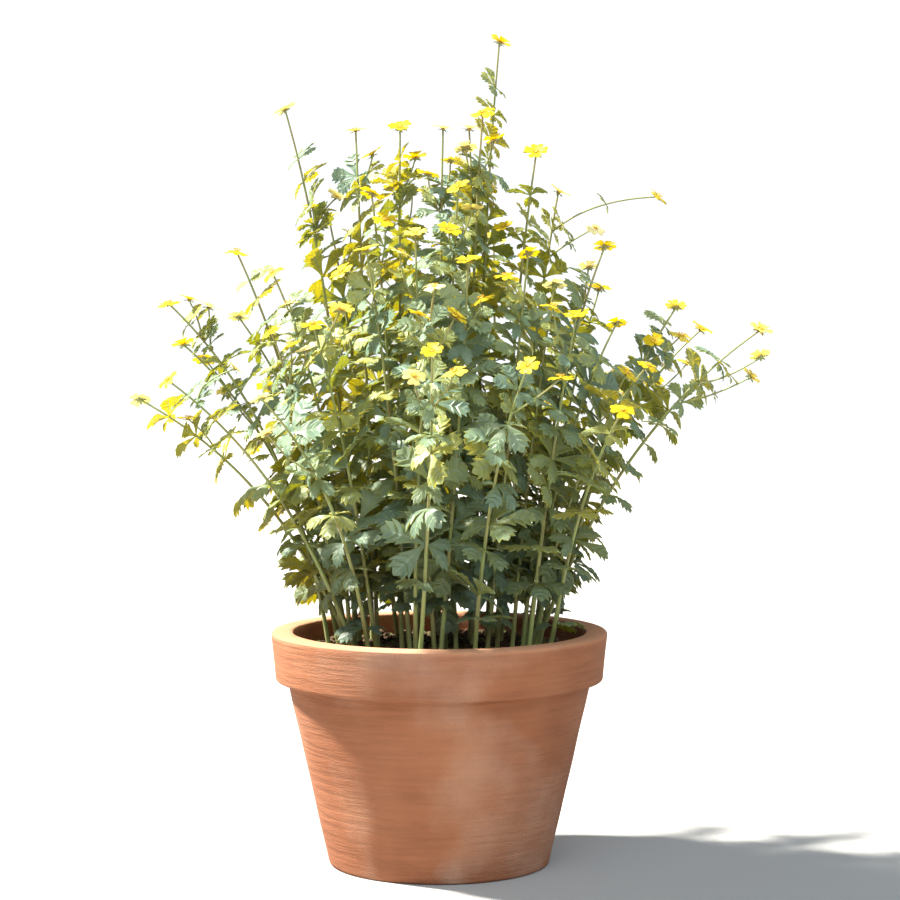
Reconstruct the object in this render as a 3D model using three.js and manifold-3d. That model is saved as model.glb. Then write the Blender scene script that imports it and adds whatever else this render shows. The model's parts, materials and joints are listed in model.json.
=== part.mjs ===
// Potted tormentil: a bushy clump of leafy, branching stems with small four-petalled flowers,
// rooted in a plain clay pot.
// Millimetres, +Z up, origin at the centre of the pot's underside, front towards -Y.

import * as THREE from 'three';
import { mergeVertices } from 'three/addons/utils/BufferGeometryUtils.js';
import Module from 'manifold-3d';

const wasm = await Module();
wasm.setup();

// Pot
const POT_HEIGHT = 125;
const POT_BASE_RADIUS = 59;
const POT_TOP_RADIUS = 81;
const POT_WALL = 6;
const POT_FLOOR = 7;
const COLLAR_HEIGHT = 27;
const COLLAR_RADIUS = 90;
const COLLAR_TAPER = 2.5;
const COLLAR_FOOT = POT_HEIGHT - COLLAR_HEIGHT;
const LEDGE_WIDTH = 3;
const LEDGE_DROP = 4;
const EDGE_ROUND = 1.6;
const POT_SIDES = 32;
const DRAIN_HOLES = 3;
const DRAIN_RADIUS = 5.5;
const DRAIN_CIRCLE = 30;
const DRAIN_SIDES = 10;

// Soil
const SOIL_LEVEL = 113;
const SOIL_MOUND = 3;
const SOIL_BUMP = 1.1;
const SOIL_WAVES = [0.19, 0.23, 0.41];
const FIT_GAP = 0.35;
const SOIL_RINGS = [0.72, 0.36];

// Clump of stems, with heights counted from the soil's level
const CLUMP_RADIUS = 66;
const CLUMP_REACH = 105;
const ROOT_DEPTH = 9;
const ROOT_RISE = 8;
const STEM_RADIUS_FOOT = 1.55;
const STEM_RADIUS_TOP = 0.85;
const BRANCH_RADIUS = 0.7;
const LEAN_SHARE = 0.3;
const SWAY = 7;
const STEM_BULGE = [0.6, 0.72];
const NODE_HALF = 0.5;
const FORK_HALF = 0.6;
const LONGEST_SPAN = 62;

// Places along a stem, as shares of it, and the room between them and below a side flower
const FIRST_LEAF = [0.09, 0.24];
const LAST_LEAF = 0.76;
const LEAF_STEP = [0.135, 0.205];
const FORK_SHARES = [0.3, 0.9];
const FORK_DROP = [24, 33];
const PLACE_GAP = 7;
const BRANCH_START = 4.2;
const BRANCH_LONG = 34;
const BRANCH_SPREAD = 0.45;

// Leaves and flowers
const LEAF_LENGTH_LOW = 19;
const LEAF_LENGTH_HIGH = 13;
const LEAFY_HEIGHT = 240;
const LEAF_RISE = 0.25;
const LEAF_DROOP = [0.3, 0.6];
const LEAF_HANG = [-0.35, 0.85];
const LEAF_ROLL = 0.35;
const STIPULE_SIZE = 0.62;
const BLADE_HALF_THICKNESS = 0.5;
const FLOWER_RADIUS = 5.6;
const CUP_RADIUS = 0.95;
const CUP_HEIGHT = 0.9;
const STAMEN_DOME = 0.9;
const PETAL_CUP = [-0.12, 0.5];
const PETAL_DROOP = 0.25;

// Half outlines of the blades, as shares of their length: [along, across].
// A leaf is three leaflets, cut apart almost to the stem.
const LEAF_EDGE = [
  [0.12, 0.58], [0.44, 0.88], [0.56, 0.56],
  [0.27, 0.12],
  [0.64, 0.3], [0.82, 0.25], [1, 0],
];
const LEAF_RIB = 0.15;
const STIPULE_EDGE = [[0.5, 0.52], [1, 0.4], [0.42, 0]];
const PETAL_EDGE = [[0.86, 0.58], [0.78, 0]];

// Every draw comes from the seed and from what is drawn, so no piece shifts another's
const SEED = 4127;
const DRAW = {
  foot: 1, sway: 2, depth: 3, turn: 4, size: 5, pitch: 6, droop: 7, tilt: 8, step: 9, roll: 10,
};
const TRIES = 60;

// Room kept clear round what already stands
const CLEARANCE = 0.3;
const CELL = 6;
const BALL_STEP = 1.5;
const STEM_SPARE = 0.2;
const BLADE_BALL = 1.2;
const FLOWER_BALL = 2.4;
const PETAL_BALL = 2.2;
const LEAF_ROOT_ROOM = 4;
const BRANCH_ROOT_ROOM = 7;
const PRESSED = 0.5;

// The stems: tip across, tip height, tip depth, then across and height of each side flower
const STEMS = [
  [32, 325, 8],
  [23, 286, -12, [29, 272], [14, 268]],
  [16, 280, 20, [10, 264], [25, 249]],
  [2, 278, -4, [6, 262], [-6, 254]],
  [-21, 280, 12, [-13, 264], [-25, 255]],
  [-44, 277, -8, [-35, 264]],
  [-82, 289, 6, [-68, 238], [-55, 243]],
  [51, 265, -12, [34, 226]],
  [64, 246, 22, [118, 244], [84, 227]],
  [87, 216, -14, [79, 205]],
  [87, 194, 32, [76, 182]],
  [-109, 214, 16],
  [-87, 202, -24, [-78, 186]],
  [-143, 186, -6, [-133, 188], [-122, 184]],
  [-110, 179, 38],
  [-137, 164, 12, [-127, 157], [-115, 139]],
  [-141, 146, -30, [-107, 152]],
  [-160, 135, 4, [-134, 125]],
  [124, 184, -22, [126, 169], [112, 166]],
  [141, 172, 20, [134, 154], [122, 152]],
  [170, 172, -4, [170, 158], [165, 147]],
  [118, 144, 44],
  [107, 154, -48, [96, 150]],
  [92, 176, -36],
  [70, 179, -56, [58, 184]],
  [92, 132, -80],
  [-86, 171, -46, [-76, 165], [-67, 162]],
  [-64, 175, -62, [-50, 182]],
  [-89, 138, -78, [-86, 120]],
  [-60, 233, 26, [-48, 223]],
  [-35, 243, -30, [-28, 229]],
  [-25, 250, 44, [-15, 247]],
  [10, 246, -36, [17, 234], [5, 223]],
  [-12, 221, -54, [-20, 212]],
  [-37, 213, -48, [-50, 202]],
  [46, 212, -40, [34, 200]],
  [60, 196, -32],
  [15, 207, -62, [22, 188]],
  [-2, 194, -78, [-10, 180], [8, 179]],
  [-3, 162, -118, [8, 152], [-12, 150]],
  [44, 155, -106, [60, 149]],
  [30, 222, 66, [20, 210], [41, 206]],
  [-20, 214, 78, [-31, 200]],
  [64, 186, 72, [54, 172], [74, 166]],
  [-66, 190, 66, [-55, 177], [-78, 172]],
  [6, 176, 112, [-7, 161], [18, 158]],
  [-40, 148, 140, [-30, 136]],
  [52, 140, 124, [63, 128]],
  [-96, 140, 64, [-87, 127]],
  [97, 148, 68, [104, 135]],
];

const UP = new THREE.Vector3(0, 0, 1);
const ACROSS = new THREE.Vector3(1, 0, 0);
const QUARTER = Math.PI / 2;
const vec = (x, y, z) => new THREE.Vector3(x, y, z);
const mix = THREE.MathUtils.lerp;
const clamp = THREE.MathUtils.clamp;

const COLOURS = {
  stem: new THREE.Color('#78853f'),
  leaf: new THREE.Color('#6d8b6c'),
  leafTip: new THREE.Color('#a3ab4a'),
  petal: new THREE.Color('#f3d92c'),
  centre: new THREE.Color('#e09518'),
};

// A repeatable draw from 0 to 1 for the whole numbers given
function draw(...keys) {
  let hash = SEED;
  for (const key of keys) {
    hash = Math.imul(hash ^ (key + 1), 0x9e3779b1);
    hash ^= hash >>> 15;
  }
  hash = Math.imul(hash, 0x85ebca6b);
  hash ^= hash >>> 13;
  hash = Math.imul(hash, 0xc2b2ae35);
  hash ^= hash >>> 16;
  return (hash >>> 0) / 2 ** 32;
}

// A repeatable draw from -1 to 1
function swing(...keys) {
  return 2 * draw(...keys) - 1;
}

// Soil surface: a low mound with smooth bumps
function soilHeight(x, y) {
  const mound = SOIL_MOUND * (1 - (x * x + y * y) / POT_TOP_RADIUS ** 2);
  const [long, cross, short] = SOIL_WAVES;
  const bumps = Math.sin(x * long + 1.3) * Math.cos(y * cross) + Math.sin((x + y) * short) * 0.6;
  return SOIL_LEVEL + mound + SOIL_BUMP * bumps;
}

// Room already taken, as balls along the stems and over the blades
const taken = new Map();
const cellKey = (x, y, z) => `${Math.floor(x / CELL)},${Math.floor(y / CELL)},${Math.floor(z / CELL)}`;

function take(balls, owner) {
  for (const ball of balls) {
    const key = cellKey(ball.at.x, ball.at.y, ball.at.z);
    if (!taken.has(key)) taken.set(key, []);
    taken.get(key).push({ ...ball, owner });
  }
}

function hitsHolder({ at, radius }) {
  const out = Math.hypot(at.x, at.y);
  const inside = out < innerRadius(COLLAR_FOOT) - 2;
  if (inside) return at.z - radius < soilHeight(at.x, at.y) + CLEARANCE;
  return out < COLLAR_RADIUS + radius + CLEARANCE && at.z - radius < POT_HEIGHT + CLEARANCE;
}

// Whether the balls touch nothing, apart from their own stem close to where they join it
function isFree(balls, owner, root, rootRoom) {
  for (const { at, radius } of balls) {
    if (hitsHolder({ at, radius })) return false;
    for (let dx = -CELL; dx <= CELL; dx += CELL) {
      for (let dy = -CELL; dy <= CELL; dy += CELL) {
        for (let dz = -CELL; dz <= CELL; dz += CELL) {
          const others = taken.get(cellKey(at.x + dx, at.y + dy, at.z + dz)) ?? [];
          for (const other of others) {
            if (other.owner === owner && other.at.distanceTo(root) < rootRoom) continue;
            if (other.at.distanceTo(at) < other.radius + radius + CLEARANCE) return false;
          }
        }
      }
    }
  }
  return true;
}

// Balls along a polyline of [point, radius] rings
function ballsAlong(rings) {
  const balls = [];
  for (let i = 1; i < rings.length; i++) {
    const [from, to] = [rings[i - 1], rings[i]];
    const steps = Math.ceil(from.at.distanceTo(to.at) / BALL_STEP);
    for (let k = 0; k <= steps; k++) {
      const share = k / steps;
      const radius = mix(from.radius, to.radius, share) + STEM_SPARE;
      balls.push({ at: from.at.clone().lerp(to.at, share), radius });
    }
  }
  return balls;
}

// A point and direction on the curve from one point to another past a control point
function curvePoint({ from, by, to }, share) {
  const early = from.clone().lerp(by, share);
  return early.lerp(by.clone().lerp(to, share), share);
}

function curveDirection({ from, by, to }, share) {
  return by.clone().sub(from).lerp(to.clone().sub(by), share).normalize();
}

// A closed surface that grows ring by ring
class Shell {
  constructor() {
    this.places = [];
    this.colours = [];
    this.faces = [];
  }

  point(at, colour) {
    this.places.push(at);
    this.colours.push(colour);
    return this.places.length - 1;
  }

  triangle(a, b, c) {
    this.faces.push(a, b, c);
  }

  quad(a, b, c, d) {
    this.faces.push(a, b, c, a, c, d);
  }

  // Four corners round a centre. The ring turns as little as it can from the one before,
  // or so far that one of its sides looks the way it should.
  ring(before, centre, direction, radius, colour, facing) {
    const start = before
      ? this.places[before.corners[0]].clone().sub(before.centre)
      : ACROSS.clone();
    const first = start.projectOnPlane(direction).normalize();
    const second = direction.clone().cross(first);
    let turn = 0;
    let front = 0;
    if (facing) {
      const angle = Math.atan2(facing.dot(second), facing.dot(first)) - QUARTER / 2;
      front = Math.round(angle / QUARTER);
      turn = angle - front * QUARTER;
    }
    const corners = [0, 1, 2, 3].map((corner) => {
      const angle = turn + corner * QUARTER;
      const at = centre.clone().addScaledVector(first, radius * Math.cos(angle));
      return this.point(at.addScaledVector(second, radius * Math.sin(angle)), colour);
    });
    return { centre, corners, front: (front + 4) % 4 };
  }

  side(low, high, number) {
    const next = (number + 1) % 4;
    return [low.corners[number], low.corners[next], high.corners[next], high.corners[number]];
  }

  walls(low, high, open = []) {
    for (let number = 0; number < 4; number++) {
      if (!open.includes(number)) this.quad(...this.side(low, high, number));
    }
  }

  // A thin blade that grows out of a four-cornered opening to a pointed or notched edge
  blade([lowLeft, lowRight, highRight, highLeft], plan, colours) {
    const rim = bladeRim(plan).map((place) => this.point(bladePoint(plan, ...place), colours[1]));
    const middle = plan.edge.length - 1;
    let [above, below] = [rim[middle], rim[middle]];
    if (plan.rib) {
      const rib = bladePoint(plan, plan.rib, 0);
      above = this.point(rib.clone().addScaledVector(plan.up, BLADE_HALF_THICKNESS), colours[0]);
      below = this.point(rib.clone().addScaledVector(plan.up, -BLADE_HALF_THICKNESS), colours[0]);
    }
    const upper = [highLeft, ...rim, highRight];
    const lower = [lowLeft, ...rim, lowRight];
    for (let i = 1; i < upper.length; i++) {
      if (upper[i] !== above && upper[i - 1] !== above) {
        this.triangle(above, upper[i - 1], upper[i]);
        this.triangle(below, lower[i], lower[i - 1]);
      }
    }
    this.triangle(above, highRight, highLeft);
    this.triangle(below, lowLeft, lowRight);
    this.triangle(lowLeft, rim[0], highLeft);
    this.triangle(lowRight, highRight, rim[rim.length - 1]);
  }

  geometry() {
    const geometry = new THREE.BufferGeometry();
    const places = this.places.flatMap((at) => at.toArray());
    const colours = this.colours.flatMap((colour) => colour.toArray());
    geometry.setAttribute('position', new THREE.Float32BufferAttribute(places, 3));
    geometry.setAttribute('color', new THREE.Float32BufferAttribute(colours, 3));
    geometry.setIndex(this.faces);
    return geometry;
  }
}

// A blade's whole edge, from its left side round the tip to its right
function bladeRim({ edge }) {
  const left = edge.map(([along, across]) => [along, -across]);
  return [...left, ...edge.slice(0, -1).reverse()];
}

// A place on a blade: it rises from the stem and bends down to its tips
function bladePoint({ root, out, across, up, length, rise, droop }, along, aside) {
  const away = Math.hypot(along, aside);
  return root.clone()
    .addScaledVector(out, along * length)
    .addScaledVector(across, aside * length)
    .addScaledVector(up, (rise * away - droop * away * away) * length);
}

function ballsOver(plan) {
  const rim = bladeRim(plan);
  const hub = [plan.rib ?? 0.2, 0];
  const balls = [];
  for (let i = 1; i < rim.length; i++) {
    const [[x0, y0], [x1, y1]] = [rim[i - 1], rim[i]];
    const columns = Math.ceil((Math.hypot(x1 - x0, y1 - y0) * plan.length) / BALL_STEP);
    for (let column = 0; column < columns; column++) {
      const x = mix(x0, x1, column / columns) - hub[0];
      const y = mix(y0, y1, column / columns) - hub[1];
      const rows = Math.ceil((Math.hypot(x, y) * plan.length) / BALL_STEP);
      for (let row = Math.ceil(rows / 4); row <= rows; row++) {
        const at = bladePoint(plan, hub[0] + (x * row) / rows, hub[1] + (y * row) / rows);
        balls.push({ at, radius: BLADE_BALL });
      }
    }
  }
  return balls;
}

// The curve of a stem from its foot in the soil to its flower
function stemCurve(number, attempt) {
  const [across, height, depth] = STEMS[number];
  const drift = swing(number, attempt, DRAW.depth) * (1 + attempt / 6);
  const tip = vec(across, depth + drift, SOIL_LEVEL + height);
  const reach = Math.hypot(tip.x, tip.y);
  const around = Math.atan2(tip.y, tip.x) + swing(number, attempt, DRAW.turn) * (0.3 + attempt / TRIES);
  const spread = Math.min(1, (reach / CLUMP_REACH) ** 0.7) * (1 - 0.3 * draw(number, attempt, DRAW.foot));
  const away = CLUMP_RADIUS * spread;
  const foot = vec(away * Math.cos(around), away * Math.sin(around), SOIL_LEVEL);
  const lean = Math.hypot(tip.x - foot.x, tip.y - foot.y) / height;
  const by = foot.clone().lerp(tip, LEAN_SHARE);
  by.z = foot.z + height * mix(...STEM_BULGE, clamp(lean, 0, 1));
  by.x += SWAY * swing(number, attempt, DRAW.sway);
  by.y += SWAY * swing(number, attempt, DRAW.sway, 1);
  return { from: foot, by, to: tip };
}

// Where the leaves and the side flowers of a stem sit on its curve, as shares of the curve
function stemPlaces(number) {
  const [, height, , ...sides] = STEMS[number];
  const places = [];
  let share = mix(...FIRST_LEAF, draw(number, DRAW.step));
  for (let leaf = 0; share < LAST_LEAF; leaf++) {
    places.push({ share, leaf });
    share += mix(...LEAF_STEP, draw(number, leaf, DRAW.step)) + PLACE_GAP / height;
  }
  sides.forEach(([, sideHeight], fork) => {
    const below = sideHeight - mix(...FORK_DROP, draw(number, fork, DRAW.step, 1));
    places.push({ share: clamp(below / height, ...FORK_SHARES), fork });
  });
  places.sort((a, b) => a.share - b.share);
  for (let i = 1; i < places.length; i++) {
    places[i].share = Math.max(places[i].share, places[i - 1].share + PLACE_GAP / height);
  }
  return places;
}

function stemRadius(share) {
  return mix(STEM_RADIUS_FOOT, STEM_RADIUS_TOP, Math.min(1, share * 1.25));
}

// The rings of a stem: root, foot, leaf and fork places, and the stretches between them
function stemRings(number, curve) {
  const start = curveDirection(curve, 0);
  const rings = [-ROOT_DEPTH, ROOT_RISE].map((rise) => ({
    at: curve.from.clone().addScaledVector(start, rise),
    direction: start,
    radius: STEM_RADIUS_FOOT,
  }));
  const places = [...stemPlaces(number), { share: 1, tip: true }];
  let last = 0;
  for (const place of places) {
    const length = curvePoint(curve, place.share).distanceTo(curvePoint(curve, last));
    const spans = Math.ceil((length - (last ? 0 : ROOT_RISE)) / LONGEST_SPAN);
    for (let span = 1; span <= spans; span++) {
      const share = mix(last || ROOT_RISE / STEMS[number][1], place.share, span / spans);
      const whole = span === spans ? place : {};
      rings.push({
        ...whole,
        at: curvePoint(curve, share),
        direction: curveDirection(curve, share),
        radius: stemRadius(share),
      });
    }
    last = place.share;
  }
  return rings;
}

function flowerPlan(number, flower, attempt, at, direction) {
  const around = draw(number, flower, attempt, DRAW.tilt) * 2 * Math.PI;
  const tilt = 0.15 + 0.55 * draw(number, flower, attempt, DRAW.tilt, 1);
  const lean = vec(Math.cos(around), Math.sin(around), 0);
  const up = direction.clone().lerp(UP, 0.6).addScaledVector(lean, tilt).normalize();
  const size = FLOWER_RADIUS * (0.88 + 0.2 * draw(number, flower, DRAW.size));
  const cup = mix(...PETAL_CUP, draw(number, flower, DRAW.pitch));
  return { at, up, size, cup };
}

function petalPlan({ up, size, cup }, root, out) {
  const across = up.clone().cross(out);
  return { root, out, up, across, length: size, rise: cup, droop: PETAL_DROOP, edge: PETAL_EDGE };
}

function flowerBalls({ at, up, size }) {
  const first = ACROSS.clone().projectOnPlane(up).normalize();
  const balls = [{ at: at.clone(), radius: FLOWER_BALL }];
  for (let spoke = 0; spoke < 8; spoke++) {
    const out = first.clone().applyAxisAngle(up, (spoke * Math.PI) / 4);
    const petal = at.clone().addScaledVector(out, size * 0.68).addScaledVector(up, CUP_HEIGHT);
    balls.push({ at: petal, radius: PETAL_BALL });
  }
  return balls;
}

// A side branch leaves its stem at a fork and curves up to its flower
function branchPlan(number, fork, ring, attempt) {
  const [, , depth, ...sides] = STEMS[number];
  const [across, height] = sides[fork];
  const share = clamp(height / STEMS[number][1], 0, 1);
  const drift = swing(number, fork, attempt, DRAW.depth) * (6 + attempt / 2);
  const tip = vec(across, mix(ring.at.y, depth, share) + drift, SOIL_LEVEL + height);
  const way = tip.clone().sub(ring.at);
  const out = way.clone().projectOnPlane(ring.direction).normalize();
  const leaving = ring.direction.clone().lerp(out, BRANCH_SPREAD).normalize();
  const by = ring.at.clone().addScaledVector(leaving, BRANCH_SPREAD * way.length());
  return { from: ring.at, by, to: tip, out };
}

function branchRings(branch) {
  const length = branch.from.distanceTo(branch.to);
  const middle = length > BRANCH_LONG ? [0.42, 0.72] : [0.55];
  return [BRANCH_START / length, ...middle, 1].map((share) => ({
    at: curvePoint(branch, share),
    direction: curveDirection(branch, share),
    radius: BRANCH_RADIUS,
  }));
}

// A leaf of three leaflets and its pair of stipules, on opposite sides of one place on a stem
function leafPlan(number, ring, attempt) {
  const outward = Math.atan2(ring.at.y, ring.at.x);
  const around = outward + swing(number, ring.leaf, attempt, DRAW.turn) * (1 + (1.8 * attempt) / TRIES);
  const height = ring.at.z - SOIL_LEVEL;
  const full = mix(LEAF_LENGTH_LOW, LEAF_LENGTH_HIGH, clamp(height / LEAFY_HEIGHT, 0, 1));
  const length = full * mix(0.9, 1.08, draw(number, ring.leaf, DRAW.size)) * mix(1, 0.66, attempt / TRIES);
  const droop = mix(...LEAF_DROOP, draw(number, ring.leaf, attempt, DRAW.droop));
  const hang = mix(...LEAF_HANG, draw(number, ring.leaf, attempt, DRAW.pitch));
  const roll = LEAF_ROLL * swing(number, ring.leaf, attempt, DRAW.roll);
  const leaf = { length, edge: LEAF_EDGE, rib: LEAF_RIB, rise: LEAF_RISE, droop };
  const stipules = { length: length * STIPULE_SIZE, edge: STIPULE_EDGE, rise: 0.3, droop: 0.35 };
  return [
    bladePlan(ring, around, hang, roll, leaf),
    bladePlan(ring, around + Math.PI, 0.1, 0, stipules),
  ];
}

// A blade starts between square to its stem and level, hangs down by an angle and rolls to one side
function bladePlan(ring, around, hang, roll, shape) {
  const above = ring.direction.clone().add(UP).normalize();
  const ahead = vec(Math.cos(around), Math.sin(around), 0).projectOnPlane(above).normalize();
  const out = ahead.clone().multiplyScalar(Math.cos(hang)).addScaledVector(above, -Math.sin(hang));
  const across = above.clone().cross(ahead).applyAxisAngle(out, roll);
  const root = ring.at.clone().addScaledVector(ahead, ring.radius * 0.7);
  return { ...shape, root, out, across, up: out.clone().cross(across), ahead };
}

// The first try that is free of what stands already, or nothing where none is
function firstFree(plan, balls, owner, rootRoom) {
  for (let attempt = 0; attempt < TRIES; attempt++) {
    const made = plan(attempt);
    const room = balls(made);
    if (!made.pressed && isFree(room, owner, made.root, rootRoom)) {
      take(room, owner);
      return made;
    }
  }
  return null;
}

function placeStem(number) {
  return firstFree(
    (attempt) => {
      const rings = stemRings(number, stemCurve(number, attempt));
      const top = rings.at(-1);
      const flower = flowerPlan(number, 0, attempt, top.at, top.direction);
      return { number, rings, flower, root: rings[0].at };
    },
    ({ rings, flower }) => [...ballsAlong(rings.slice(1)), ...flowerBalls(flower)],
    number,
    0,
  );
}

function placeBranch(stem, ring) {
  return firstFree(
    (attempt) => {
      const branch = branchPlan(stem.number, ring.fork, ring, attempt);
      const rings = branchRings(branch);
      const top = rings.at(-1);
      const flower = flowerPlan(stem.number, ring.fork + 1, attempt, top.at, top.direction);
      return { ...branch, rings, flower, root: ring.at };
    },
    ({ rings, flower }) => [...ballsAlong(rings), ...flowerBalls(flower)],
    stem.number,
    BRANCH_ROOT_ROOM,
  );
}

function placeLeaf(stem, ring) {
  const placed = firstFree(
    (attempt) => {
      const blades = leafPlan(stem.number, ring, attempt);
      const pressed = blades.some(({ out }) => Math.abs(out.dot(ring.direction)) > PRESSED);
      return { blades, pressed, root: ring.at };
    },
    ({ blades }) => blades.flatMap(ballsOver),
    stem.number,
    LEAF_ROOT_ROOM,
  );
  return placed?.blades;
}

function addFlower(shell, below, flower) {
  const { at, up } = flower;
  const colours = [COLOURS.centre, COLOURS.petal];
  const low = shell.ring(below, at, up, CUP_RADIUS, COLOURS.stem);
  shell.walls(below, low);
  const high = shell.ring(low, at.clone().addScaledVector(up, CUP_HEIGHT), up, CUP_RADIUS, COLOURS.centre);
  for (let number = 0; number < 4; number++) {
    const corners = shell.side(low, high, number);
    const root = vec(0, 0, 0);
    for (const corner of corners) root.addScaledVector(shell.places[corner], 1 / corners.length);
    const middle = low.centre.clone().lerp(high.centre, 0.5);
    const out = root.clone().sub(middle).normalize();
    shell.blade(corners, petalPlan(flower, root, out), colours);
  }
  const top = shell.point(high.centre.clone().addScaledVector(up, STAMEN_DOME), COLOURS.centre);
  high.corners.forEach((corner, number) => shell.triangle(corner, high.corners[(number + 1) % 4], top));
}

// A pair of rings close together, so that something can grow out of the sides between them
function addCollar(shell, below, { at, direction, radius }, half, facing) {
  const [foot, top] = [-half, half].map((rise) => at.clone().addScaledVector(direction, rise));
  const low = shell.ring(below, foot, direction, radius, COLOURS.stem, facing);
  shell.walls(below, low);
  const high = shell.ring(low, top, direction, radius, COLOURS.stem);
  return [low, high];
}

function addLeaf(shell, below, ring, blades) {
  const [low, high] = addCollar(shell, below, ring, NODE_HALF, blades[0].ahead);
  const sides = [low.front, (low.front + 2) % 4];
  shell.walls(low, high, sides);
  const colours = [COLOURS.leaf, COLOURS.leafTip];
  blades.forEach((blade, i) => shell.blade(shell.side(low, high, sides[i]), blade, colours));
  return high;
}

function addBranch(shell, below, ring, branch) {
  const [low, high] = addCollar(shell, below, ring, FORK_HALF, branch.out);
  shell.walls(low, high, [low.front]);
  const centre = ring.at.clone().addScaledVector(branch.out, ring.radius * Math.SQRT1_2);
  let last = { corners: shell.side(low, high, low.front), centre };
  for (const { at, direction, radius } of branch.rings.slice(0, -1)) {
    const next = shell.ring(last, at, direction, radius, COLOURS.stem);
    shell.walls(last, next);
    last = next;
  }
  addFlower(shell, last, branch.flower);
  return high;
}

function stemMesh({ number, rings, flower }, leaves, branches) {
  const shell = new Shell();
  const [root, ...rest] = rings.slice(0, -1);
  let last = shell.ring(null, root.at, root.direction, root.radius, COLOURS.stem);
  shell.quad(...[...last.corners].reverse());
  rest.forEach((ring, i) => {
    if (leaves.has(i)) {
      last = addLeaf(shell, last, ring, leaves.get(i));
    } else if (branches.has(i)) {
      last = addBranch(shell, last, ring, branches.get(i));
    } else {
      const next = shell.ring(last, ring.at, ring.direction, ring.radius, COLOURS.stem);
      shell.walls(last, next);
      last = next;
    }
  });
  addFlower(shell, last, flower);
  const green = new THREE.MeshStandardMaterial({ vertexColors: true, flatShading: true });
  green.roughness = 0.6;
  return named(`stem_${String(number + 1).padStart(2, '0')}`, shell.geometry(), green);
}

function named(name, geometry, material) {
  const mesh = new THREE.Mesh(geometry, material);
  mesh.name = name;
  return mesh;
}

// three.js surface to closed solid and back
function solid(geometry) {
  const plain = geometry.clone();
  plain.deleteAttribute('normal');
  plain.deleteAttribute('uv');
  plain.deleteAttribute('color');
  const merged = mergeVertices(plain, 1e-4);
  const triangles = [];
  const index = merged.index.array;
  for (let i = 0; i < index.length; i += 3) {
    const [a, b, c] = [index[i], index[i + 1], index[i + 2]];
    if (a !== b && b !== c && c !== a) triangles.push(a, b, c);
  }
  const vertProperties = new Float32Array(merged.attributes.position.array);
  const triVerts = new Uint32Array(triangles);
  return new wasm.Manifold(new wasm.Mesh({ numProp: 3, vertProperties, triVerts }));
}

function surface(shape) {
  const { vertProperties, triVerts } = shape.getMesh();
  const geometry = new THREE.BufferGeometry();
  geometry.setAttribute('position', new THREE.Float32BufferAttribute(vertProperties, 3));
  geometry.setIndex([...triVerts]);
  return geometry;
}

function turned(profile) {
  const points = profile.map(([radius, height]) => new THREE.Vector2(radius, height));
  return new THREE.LatheGeometry(points, POT_SIDES).rotateX(QUARTER);
}

// The pot's inner radius at a height
function innerRadius(height) {
  return mix(POT_BASE_RADIUS, POT_TOP_RADIUS, height / COLLAR_FOOT) - POT_WALL;
}

function potMesh() {
  const mouth = innerRadius(COLLAR_FOOT) + LEDGE_WIDTH;
  let pot = solid(turned([
    [0, 0],
    [POT_BASE_RADIUS - EDGE_ROUND, 0],
    [POT_BASE_RADIUS, EDGE_ROUND],
    [POT_TOP_RADIUS, COLLAR_FOOT],
    [COLLAR_RADIUS - COLLAR_TAPER, COLLAR_FOOT + EDGE_ROUND],
    [COLLAR_RADIUS, POT_HEIGHT - EDGE_ROUND],
    [COLLAR_RADIUS - EDGE_ROUND, POT_HEIGHT],
    [mouth + EDGE_ROUND, POT_HEIGHT],
    [mouth, POT_HEIGHT - EDGE_ROUND],
    [innerRadius(COLLAR_FOOT), COLLAR_FOOT - LEDGE_DROP],
    [innerRadius(POT_FLOOR), POT_FLOOR],
    [0, POT_FLOOR],
  ]));
  for (let hole = 0; hole < DRAIN_HOLES; hole++) {
    const around = ((hole + 0.25) * 2 * Math.PI) / DRAIN_HOLES;
    const cutter = new THREE.CylinderGeometry(DRAIN_RADIUS, DRAIN_RADIUS, POT_FLOOR * 3, DRAIN_SIDES);
    cutter.rotateX(QUARTER);
    cutter.translate(DRAIN_CIRCLE * Math.cos(around), DRAIN_CIRCLE * Math.sin(around), POT_FLOOR / 2);
    pot = pot.subtract(solid(cutter));
  }
  const clay = new THREE.MeshStandardMaterial({ color: '#b5673f', roughness: 0.85 });
  return named('pot', surface(pot), clay);
}

// The hole that a stem stands in
function stemHole(root, foot) {
  const shell = new Shell();
  const gap = FIT_GAP * Math.SQRT2;
  const start = root.at.clone().addScaledVector(root.direction, -FIT_GAP);
  const low = shell.ring(null, start, root.direction, root.radius + gap, COLOURS.stem);
  const high = shell.ring(low, foot.at, root.direction, root.radius + gap, COLOURS.stem);
  shell.quad(...[...low.corners].reverse());
  shell.walls(low, high);
  shell.quad(...high.corners);
  return solid(shell.geometry());
}

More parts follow.
